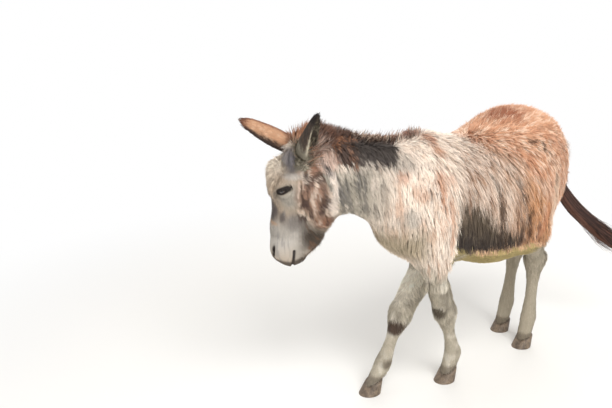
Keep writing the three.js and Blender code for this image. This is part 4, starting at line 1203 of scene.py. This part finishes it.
# Nothing grows on the eyes, their lids' edges and the nostrils.
bare = np.clip(nostril_share(*on_head(skin_points).T) * 1.5, 0, 1)
for side in ("left", "right"):
    ahead, over, out = eye_coordinates(skin_points, side).T
    on_lids = (np.hypot(ahead, over / LID_SQUASH) < 0.030) & (out > -0.012)
    bare[:lid_start] = np.maximum(bare, on_lids)[:lid_start]
bare[lid_start:] = 1 - ramp(lid_steps, 0.13, 0.27) * ramp(lid_steps, 1.0, 0.9)
left_side = skin_points[:, 1] < np.interp(skin_points[:, 0], (-0.8, -0.3), (0.08, -0.05))
plain = 1 - np.clip(skin_crest * 1.3, 0, 1)


def share_of(*names):
    """The skin of some parts, without the crest."""
    return is_in(regions, *names) * plain


for label, side in (("left", left_side), ("right", ~left_side)):
    grow(f"coat_trunk_{label}", 39000, share_of("trunk") * side, 11, lock=0.0135, grain=(0.16, 0, -0.99))
    rump = share_of("hindquarters") * side
    grow(f"coat_rump_{label}", 20000, rump, 12, lock=0.0125, grain=(0.7, 0, -0.7))
    grow(f"coat_neck_{label}", 20000, share_of("neck") * side, 13, lock=0.0125, grain=(0.18, 0, -0.98))
grow("coat_head", 39500, share_of("head") * (1 - bare), 14, width=0.0018, lock=0.009, grain=HEAD_DOWN)
grow("coat_forelegs", 24500, share_of("foreleg"), 15, width=0.0020, lock=0.010, grain=(0, 0, 1))
grow("coat_hindlegs", 20500, share_of("hindleg"), 16, width=0.0020, lock=0.010, grain=(0, 0, 1))
grow("coat_ears", 13000, is_in(regions, "ear") * 1.0, 17, width=0.0018, lock=0.008)

# ---- Coat: mane and poll -----------------------------------------------------------------------
# A donkey's mane is short and stands up, with no parting. Dark at its roots and rusty or cream at
# its tips, it ends in a thick mop between the ears.


def mane_tips(roots, rng):
    """The colour of the mane's tips: rusty behind the ears, cream in the middle, reddish behind."""
    stops = [-0.90, -0.74, -0.66, -0.60, -0.52, -0.46, -0.36]
    shades = np.array([linear(text) for text in
                       ("#80533e", "#7c533f", "#63453a", "#a67e63", "#a87a60", "#87584a", "#a0664d")])
    place = roots[:, 0] + rng.normal(0, 0.018, len(roots))
    tips = np.stack([np.interp(place, stops, column) for column in shades.T], 1)
    kind = rng.random(len(roots))[:, None]
    pale = (kind > 0.82) & (roots[:, :1] > -0.66) & (roots[:, :1] < -0.48)
    poll = ramp(on_head(roots)[:, 0], -10, 10)[:, None]
    tips = tips * (1 - poll) + linear("#b37955") * poll
    kind = kind + 0.40 * poll
    return np.where(kind < 0.55, tips * 0.28, np.where(pale, linear("#ead3bc"), tips))


front, down, left = on_head(skin_points).T
mane_length = 0.052 - 0.018 * ramp(front, 0, 40) + 0.036 * ramp(skin_points[:, 0], -0.72, -0.79)
mane_length = mane_length - 0.010 * ramp(skin_points[:, 0], -0.48, -0.38)
grow("coat_mane", 13000, skin_crest, 21, width=0.0024, lock=0.022, stand=1.25, lean=(0.6, -0.2, 0.2),
     length=mane_length, bend=0.20, tip_colour=mane_tips)


def poll_tips(roots, rng):
    """Rusty tips with some dark ones."""
    dark = (rng.random(len(roots)) < 0.3)[:, None]
    return np.where(dark, linear("#5f4232"), linear("#bd8461"))


poll = is_in(regions, "head", "neck") * ramp(down, -4, -22) * ramp(np.abs(left + 2), 46, 28)
poll = poll * ramp(front, 30, 10) * ramp(skin_normals[:, 2], 0.1, 0.4)
grow("coat_poll", 3000, poll, 22, width=0.0022, lock=0.014, stand=0.55,
     lean=HEAD_FRONT * 0.8 - HEAD_LEFT * 0.2, length=0.036, bend=0.6, tip_colour=poll_tips)

# A collar of hair covers the foot of each ear.
for node in EARS:
    root, tip = ear_axes[node]
    gap = np.linalg.norm(skin_points - root - 0.22 * (tip - root), axis=1)
    collar = is_in(regions, "head", "neck", node) * ramp(gap, 0.060, 0.045) * ramp(front, 66, 46)
    grow(f"coat_collar_{node[4:]}", 1800, collar, 23, width=0.0020, lock=0.012, stand=0.55,
         lean=unit(tip - root), length=0.026, bend=0.3)

# The forehead is shaggy, with loose locks.
brow = is_in(regions, "head") * spot(on_head(skin_points), (112, 15, 0), (46, 66, 60), 0.4)
grow("coat_forehead", 2200, brow, 25, width=0.0022, lock=0.014, stand=0.62,
     lean=HEAD_DOWN * 0.7 + HEAD_FRONT * 0.2, length=0.034, bend=0.7)

# Looser hair stands up along the loin and croup.
croup = is_in(regions, "trunk", "hindquarters") * ramp(skin_points[:, 2], 1.03, 1.09)
croup *= ramp(skin_points[:, 0], -0.22, -0.10) * ramp(skin_normals[:, 2], 0.3, 0.7)
grow("coat_croup", 5000, croup, 24, width=0.0024, lock=0.018, stand=0.75,
     lean=(0.9, 0, 0.25), length=0.046, bend=0.5)

# ---- Tail --------------------------------------------------------------------------------------
# The dock is bone and skin under short hair, white at its root. The switch below it is long, coarse,
# dark hair that blows out behind; a core keeps it from showing through, darker than the hair as
# painted shade deep inside the switch.


def dock_tips(roots, rng):
    """White hair at the root of the tail, brown lower down."""
    white = ramp(roots[:, 2], 0.86, 0.90)[:, None]
    return linear("#f7f3ee") * white + linear("#7a5a48") * (1 - white)


dock_length = 0.042 + 0.012 * ramp(skin_points[:, 2], 0.86, 0.92)
grow("coat_dock", 5000, share_of("tail_dock"), 18, lock=0.014, stand=0.42, lean=(0.35, -0.15, -0.9),
     length=dock_length, tip_colour=dock_tips)

# The middle line of the switch from the dock on, and its half depth and half width there.
SWITCH = np.array([(0.648, -0.099, 0.745, 0.025, 0.027), (0.6514, -0.1072, 0.716, 0.029, 0.030),
                   (0.7014, -0.1512, 0.634, 0.032, 0.036), (0.7754, -0.2012, 0.556, 0.030, 0.042),
                   (0.8574, -0.2632, 0.470, 0.022, 0.030), (0.9204, -0.3132, 0.400, 0.009, 0.012)])
switch_reach = np.append(0, np.cumsum(np.linalg.norm(np.diff(SWITCH[:, :3], axis=0), axis=1)))
switch_reach = switch_reach / switch_reach[-1]


def on_switch(t):
    """Place, half depth and half width of the switch at each share of its length."""
    before, here, after = (
        np.stack([np.interp(t + step, switch_reach, column) for column in SWITCH.T], -1)
        for step in (-0.05, 0, 0.05)
    )
    ends = ramp(t, 0, 0.08) * ramp(t, 1.0, 0.92)
    return here + (0.25 * before + 0.25 * after - 0.5 * here) * ends[..., None]


switch_run = unit(SWITCH[-1, :3] - SWITCH[0, :3])
switch_side = np.array((0.3, 0.9, 0.1))
switch_wide = unit(switch_side - switch_run * (switch_side @ switch_run))
switch_deep = np.cross(switch_run, switch_wide)
SWITCH_LOCKS = 26       # the hairs gather into so many locks towards the tip
rng = np.random.default_rng(30)
count, stations = 6500, 9
starts = np.where(rng.random(count) < 0.45, -0.04, rng.random(count) * 0.60 - 0.04)
ends = np.minimum(starts + 0.50 + 0.50 * rng.random(count), 0.80 + 0.20 * rng.random(count) ** 0.6)
lock_number = rng.integers(0, SWITCH_LOCKS, count)
lock_turn = rng.random(SWITCH_LOCKS) * 2 * math.pi
lock_out = rng.random(SWITCH_LOCKS) ** 0.5 * 1.4
own_turn = rng.random(count) * 2 * math.pi
own_out = 0.45 + 0.68 * rng.random(count) ** 0.6
travel = np.linspace(0, 1, stations)
t = starts[:, None] + (ends - starts)[:, None] * travel
# A hair starts at its own place in the switch and goes over to its lock's place towards the tip.
gather = 0.15 + 0.78 * ramp(t, 0.20, 0.80)
own_deep, own_wide = np.cos(own_turn) * own_out, np.sin(own_turn) * own_out
lock_deep, lock_wide = np.cos(lock_turn) * lock_out, np.sin(lock_turn) * lock_out
deep = own_deep[:, None] * (1 - gather) + lock_deep[lock_number][:, None] * gather
wide = own_wide[:, None] * (1 - gather) + lock_wide[lock_number][:, None] * gather
loose = (rng.random(count) < 0.22)[:, None] * ramp(t, 0.35, 1.0)
deep = deep * (1 + 0.25 * loose) + 0.75 * loose * rng.normal(0, 1, (count, 1))
wide = wide * (1 + 0.25 * loose) + 0.65 * loose * rng.normal(0, 1, (count, 1))
line = on_switch(t)
outward = deep[..., None] * switch_deep + wide[..., None] * switch_wide
spines = line[..., :3] + (line[..., 3] * deep)[..., None] * switch_deep
spines = spines + (line[..., 4] * wide)[..., None] * switch_wide
facing = unit(outward + 1e-4)
across = unit(np.cross(facing, np.gradient(spines, axis=1)))[:, :-1]
halves = 0.0012 * (0.7 + 0.6 * rng.random(count))[:, None] * np.array([0.6, 0.9, 1, 1, 1, 1, 0.9, 0.7])
shade = np.clip(0.5 * (lock_number % 4 == 0) + 0.5 * (rng.random(count) < 0.25), 0, 1)[:, None, None]
shades = linear("#3c2a25") * (1 - shade) + linear("#7d5646") * shade
shades = shades * (0.75 + 0.5 * rng.random(count))[:, None, None]
shades = np.repeat(shades, stations, axis=1) * np.linspace(0.9, 1.15, stations)[:, None]
places = np.column_stack([0.66 + 0.15 * np.clip(starts + 0.05, 0, 1), 0.62 - 0.02 * own_turn / 6.3])
tail_hair = blades("tail_hair", spines, across, halves, shades, facing, places)
finish_hair(tail_hair)


def tube_faces(sides, rings):
    """The faces of a closed tube of rings of points, with a flat end at each end."""
    faces = [(a + b, a + (b + 1) % sides, a + sides + (b + 1) % sides, a + sides + b)
             for a in range(0, sides * (rings - 1), sides) for b in range(sides)]
    faces.append(tuple(range(sides))[::-1])
    faces.append(tuple(sides * (rings - 1) + b for b in range(sides)))
    return faces


# The core is thinner than the hair and ends before its tips.
CORE_SIDES, CORE_RINGS = 24, 22
core_points = []
for ring in range(CORE_RINGS):
    t = ring / (CORE_RINGS - 1) * 0.86
    line = on_switch(np.array(t))
    size = 0.62 * math.sqrt(max(1 - (t / 0.87) ** 5, 0.0)) * (1 if ring else 0.8)
    for spoke in range(CORE_SIDES):
        turn = spoke / CORE_SIDES * 2 * math.pi
        deep, wide = line[3] * math.cos(turn) * size, line[4] * math.sin(turn) * size
        core_points.append(line[:3] + deep * switch_deep + wide * switch_wide)
core_faces = tube_faces(CORE_SIDES, CORE_RINGS)
tail_core = placed("tail_core", bpy.data.meshes.new("tail_core"))
tail_core.data.from_pydata([tuple(p) for p in core_points], [], core_faces)


def turn_outwards(piece):
    """Makes all of a closed mesh's faces point outwards, and smooths it."""
    shell = bmesh.new()
    shell.from_mesh(piece.data)
    bmesh.ops.recalc_face_normals(shell, faces=shell.faces)
    shell.to_mesh(piece.data)
    shell.free()
    piece.data.shade_smooth()


turn_outwards(tail_core)
core_map = tail_core.data.uv_layers.new(name="OFBake")
for loop in tail_core.data.loops:
    ring, spoke = divmod(loop.vertex_index, CORE_SIDES)
    core_map.data[loop.index].uv = (0.66 + 0.15 * ring / CORE_RINGS, 0.60 + 0.01 * spoke / CORE_SIDES)
# The core's near-black is painted shade deep inside the switch.
set_colours(tail_core.data, np.tile(linear("#231916"), (len(core_points), 1)))
finish_hair(tail_core)
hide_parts("tail_switch")

# ---- Eyes ----------------------------------------------------------------------------------------
# Each eye is a wet ball, nearly all dark brown iris in the slit, with a level pupil and a slightly
# bulging front. Long lashes droop from the upper lid.

eye_material, eye_output = new_material("wet dark eye")
attribute = add_node(eye_material, "ShaderNodeAttribute", attribute_name="eye")
place = add_node(eye_material, "ShaderNodeTexCoord")
fibres = add_node(
    eye_material, "ShaderNodeTexNoise", [("Vector", place.outputs["Object"])], Scale=900.0, Detail=3.0
)
fibre_tone = add_node(
    eye_material, "ShaderNodeMapRange", [("Value", fibres.outputs["Fac"])], To_Min=0.6, To_Max=1.4
)
eye_tone = add_node(
    eye_material, "ShaderNodeVectorMath",
    [(0, attribute.outputs["Color"]), (3, fibre_tone.outputs["Result"])], operation="SCALE"
)
eye_shader = add_node(
    eye_material, "ShaderNodeBsdfPrincipled", [("Base Color", eye_tone.outputs["Vector"])],
    Roughness=0.12, Coat_Weight=1.0, Coat_Roughness=0.03
)
eye_material.node_tree.links.new(eye_shader.outputs["BSDF"], eye_output.inputs["Surface"])

LASHES = 80
for side in ("left", "right"):
    center, gaze, line, up = eye_frame(side)
    ball = bmesh.new()
    bmesh.ops.create_icosphere(ball, subdivisions=6, radius=EYE_RADIUS)
    ball_mesh = bpy.data.meshes.new(f"eyeball_{side}")
    ball.to_mesh(ball_mesh)
    ball.free()
    points, _, _ = mesh_arrays(ball_mesh)
    ahead, over, out = (points @ np.stack([line, up, gaze], 1)).T
    middle_gap = np.where(out > 0, np.hypot(ahead, over), 1.0)
    points = points * (1 + 0.040 * ramp(middle_gap, 0.0072, 0.0)[:, None])
    ball_mesh.vertices.foreach_set("co", (points + center).ravel())
    iris = ramp(middle_gap, 0.0125, 0.0112)[:, None]
    pupil = ramp(np.where(out > 0, np.hypot(ahead / 0.0058, over / 0.0034), 9.0), 1.12, 0.92)[:, None]
    colours = linear("#2a1d17") * (1 - iris) + linear("#40291b") * iris
    colours = colours * (1 - pupil) + linear("#070606") * pupil
    set_colours(ball_mesh, colours, "eye")
    ball_mesh.shade_smooth()
    ball_mesh.materials.append(eye_material)
    eyeball = placed(f"eyeball_{side}", ball_mesh)
    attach(eyeball, "root")
    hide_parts(f"eye_{side}")

    # Lashes along the upper lid's edge, out and down, longest towards the middle.
    spread = rng.uniform(0.12, 0.90, LASHES) * math.pi
    edge = np.column_stack([SLIT[0] * np.cos(spread), SLIT[1] * np.sin(spread) ** 1.35])
    height = np.sqrt((EYE_RADIUS + 0.0012) ** 2 - (edge ** 2).sum(1))
    roots = center + edge[:, :1] * line + edge[:, 1:] * up + height[:, None] * gaze
    lash = (0.010 + 0.008 * np.sin(spread) * rng.random(LASHES))[:, None, None]
    stops = np.linspace(0, 1, 5)[None, :, None]
    fan = (edge[:, :1] * 22)[:, None] * line + rng.normal(0, 0.10, (LASHES, 1, 3))
    droop = stops ** 2 * (-0.55 * up - 0.25 * gaze)
    spines = roots[:, None] + lash * (stops * (gaze * 0.80 + fan) + droop)
    tangents = np.gradient(spines, axis=1)
    facing = np.tile(unit(up + 0.4 * gaze), (LASHES, 5, 1))
    across = unit(np.cross(facing, tangents))[:, :-1]
    halves = 0.00040 * np.array([1, 0.9, 0.8, 0.6]) * np.ones((LASHES, 1))
    shades = np.tile(linear("#1d1714"), (LASHES, 5, 1))
    spots = map_places(roots, np.full(LASHES, FLESH.index("head")))
    finish_hair(blades(f"lashes_{side}", spines, across, halves, shades, facing, spots))

# ---- Hooves --------------------------------------------------------------------------------------
# Small, steep, boxy hooves of dull horn, with faint growth rings and fine upright grain. The wall is
# widest at the ground and slopes back to the hair of the pastern.

horn, horn_output = new_material("hoof horn")
place = add_node(horn, "ShaderNodeTexCoord")
upright = add_node(horn, "ShaderNodeMapping", [("Vector", place.outputs["Object"])], Scale=(1, 1, 0.06))
fibre = add_node(
    horn, "ShaderNodeTexNoise", [("Vector", upright.outputs["Vector"])], Scale=420.0, Detail=4.0
)
patchy = add_node(
    horn, "ShaderNodeTexNoise", [("Vector", place.outputs["Object"])], Scale=38.0, Detail=4.0
)
both = add_node(
    horn, "ShaderNodeMath", [(0, fibre.outputs["Fac"]), (1, patchy.outputs["Fac"])], operation="MULTIPLY"
)
horn_tone = add_node(horn, "ShaderNodeValToRGB", [("Fac", both.outputs["Value"])])
for element, at, text in zip(horn_tone.color_ramp.elements, (0.14, 0.42), ("#4c4036", "#96826c")):
    element.position = at
    element.color = (*linear(text), 1)
grooves = add_node(
    horn, "ShaderNodeBump", [("Height", fibre.outputs["Fac"])], Strength=0.35, Distance=0.0006
)
horn_shader = add_node(
    horn, "ShaderNodeBsdfPrincipled",
    [("Base Color", horn_tone.outputs["Color"]), ("Normal", grooves.outputs["Normal"])], Roughness=0.55
)
horn.node_tree.links.new(horn_shader.outputs["BSDF"], horn_output.inputs["Surface"])

HOOF_SIDES, HOOF_RINGS = 64, 30
HOOF_FOOT = (0.052 * 0.985, 0.043 * 0.985)      # half length and half width at the ground
HOOF_TOP = (0.040, 0.038)                       # the same at the hair's edge
HOOF_HEIGHT = 0.046
HOOF_SLOPE = math.tan(math.radians(22))         # how much higher the hair's edge is in front
HOOF_LEAN = 0.020                               # how far the top stands behind the foot
for mount in frame["record"]["mounts"]:
    _, end, side = mount["name"].split("_")
    sole = np.array(mount["pos_m"][:2])
    turn = np.arange(HOOF_SIDES) / HOOF_SIDES * 2 * math.pi
    squash = 1 - 0.12 * np.maximum(np.cos(turn), 0) ** 3
    points = []
    for ring in range(HOOF_RINGS):
        rise = ring / (HOOF_RINGS - 1)
        ridge = 0.00045 * math.sin(rise * 41) * math.sin(math.pi * min(1.0, rise * 1.1))
        long, broad = (
            foot + (top - foot) * rise + ridge - 0.0006 for foot, top in zip(HOOF_FOOT, HOOF_TOP)
        )
        dx = long * np.cos(turn) * squash
        dy = broad * np.sin(turn)
        z = HOOF_HEIGHT * rise + HOOF_SLOPE * dx * rise
        points.append(np.column_stack([sole[0] + HOOF_LEAN * rise + dx, sole[1] + dy, np.maximum(z, 0)]))
    points = np.concatenate(points)
    faces = tube_faces(HOOF_SIDES, HOOF_RINGS)
    hoof = placed(f"hoof_{end}_{side}", bpy.data.meshes.new(f"hoof_{end}_{side}"))
    hoof.data.from_pydata(points.tolist(), [], faces)
    turn_outwards(hoof)
    hoof.data.materials.append(horn)
    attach(hoof, "root")
    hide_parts(f"{end}_hoof_{side}")

# ---- Floor and light -------------------------------------------------------------------------
# A plain pale floor, a white surround and three large soft lamps.

FLOOR_REACH = 30.0
floor_mesh = bpy.data.meshes.new("floor")
floor_corners = [(FLOOR_REACH * x, FLOOR_REACH * y, 0) for x, y in ((-1, -1), (1, -1), (1, 1), (-1, 1))]
floor_mesh.from_pydata(floor_corners, [], [(0, 1, 2, 3)])
floor = placed("floor", floor_mesh)
# Matt paper that holds the shadow, and goes over to plain white further off.
paper, paper_output = new_material("pale studio floor")
paper_shader = add_node(paper, "ShaderNodeBsdfDiffuse", Color=(*linear("#f0eeea"), 1))
place = add_node(paper, "ShaderNodeTexCoord")
away = add_node(paper, "ShaderNodeVectorMath", [(0, place.outputs["Object"])], operation="LENGTH")
far = add_node(
    paper, "ShaderNodeMapRange", [("Value", away.outputs["Value"])],
    interpolation_type="SMOOTHSTEP", From_Min=1.3, From_Max=3.2
)
seen_by = add_node(paper, "ShaderNodeLightPath")
white_share = add_node(
    paper, "ShaderNodeMath",
    [(0, far.outputs["Result"]), (1, seen_by.outputs["Is Camera Ray"])], operation="MULTIPLY"
)
glow = add_node(paper, "ShaderNodeEmission", Color=(1, 1, 1, 1), Strength=1.0)
blend = add_node(paper, "ShaderNodeMixShader", [("Fac", white_share.outputs["Value"])])
paper.node_tree.links.new(paper_shader.outputs["BSDF"], blend.inputs[1])
paper.node_tree.links.new(glow.outputs["Emission"], blend.inputs[2])
paper.node_tree.links.new(blend.outputs["Shader"], paper_output.inputs["Surface"])
floor_mesh.materials.append(paper)

world = bpy.data.worlds.new("studio")
bpy.context.scene.world = world
world.use_nodes = True
soft = world.node_tree.nodes["Background"]
soft.inputs["Color"].default_value = (1, 1, 1, 1)
ray = add_node(world, "ShaderNodeLightPath")
direct = add_node(
    world, "ShaderNodeMath",
    [(0, ray.outputs["Is Camera Ray"]), (1, ray.outputs["Is Glossy Ray"])], operation="MAXIMUM"
)
through = add_node(
    world, "ShaderNodeMath",
    [(0, direct.outputs["Value"]), (1, ray.outputs["Is Transmission Ray"])], operation="MAXIMUM"
)
level = add_node(
    world, "ShaderNodeMapRange", [("Value", through.outputs["Value"])], To_Min=0.65, To_Max=1.0
)
world.node_tree.links.new(level.outputs["Result"], soft.inputs["Strength"])


def lamp(name, place, aim, size, power):
    """A square soft lamp that looks at a point."""
    data = bpy.data.lights.new(name, "AREA")
    data.size = size
    data.energy = power
    light = placed(name, data)
    light.location = place
    light.rotation_euler = (Vector(aim) - Vector(place)).to_track_quat("-Z", "Y").to_euler()


lamp("key", (-1.5, -3.0, 4.2), (0, 0, 0.7), 3.0, 198)
lamp("front", (-4.0, -1.6, 1.3), (-0.3, 0, 0.6), 2.5, 12)
lamp("fill", (3.5, 2.5, 3.5), (0, 0, 0.7), 4.0, 90)

scene = bpy.context.scene
scene.view_settings.view_transform = "Standard"
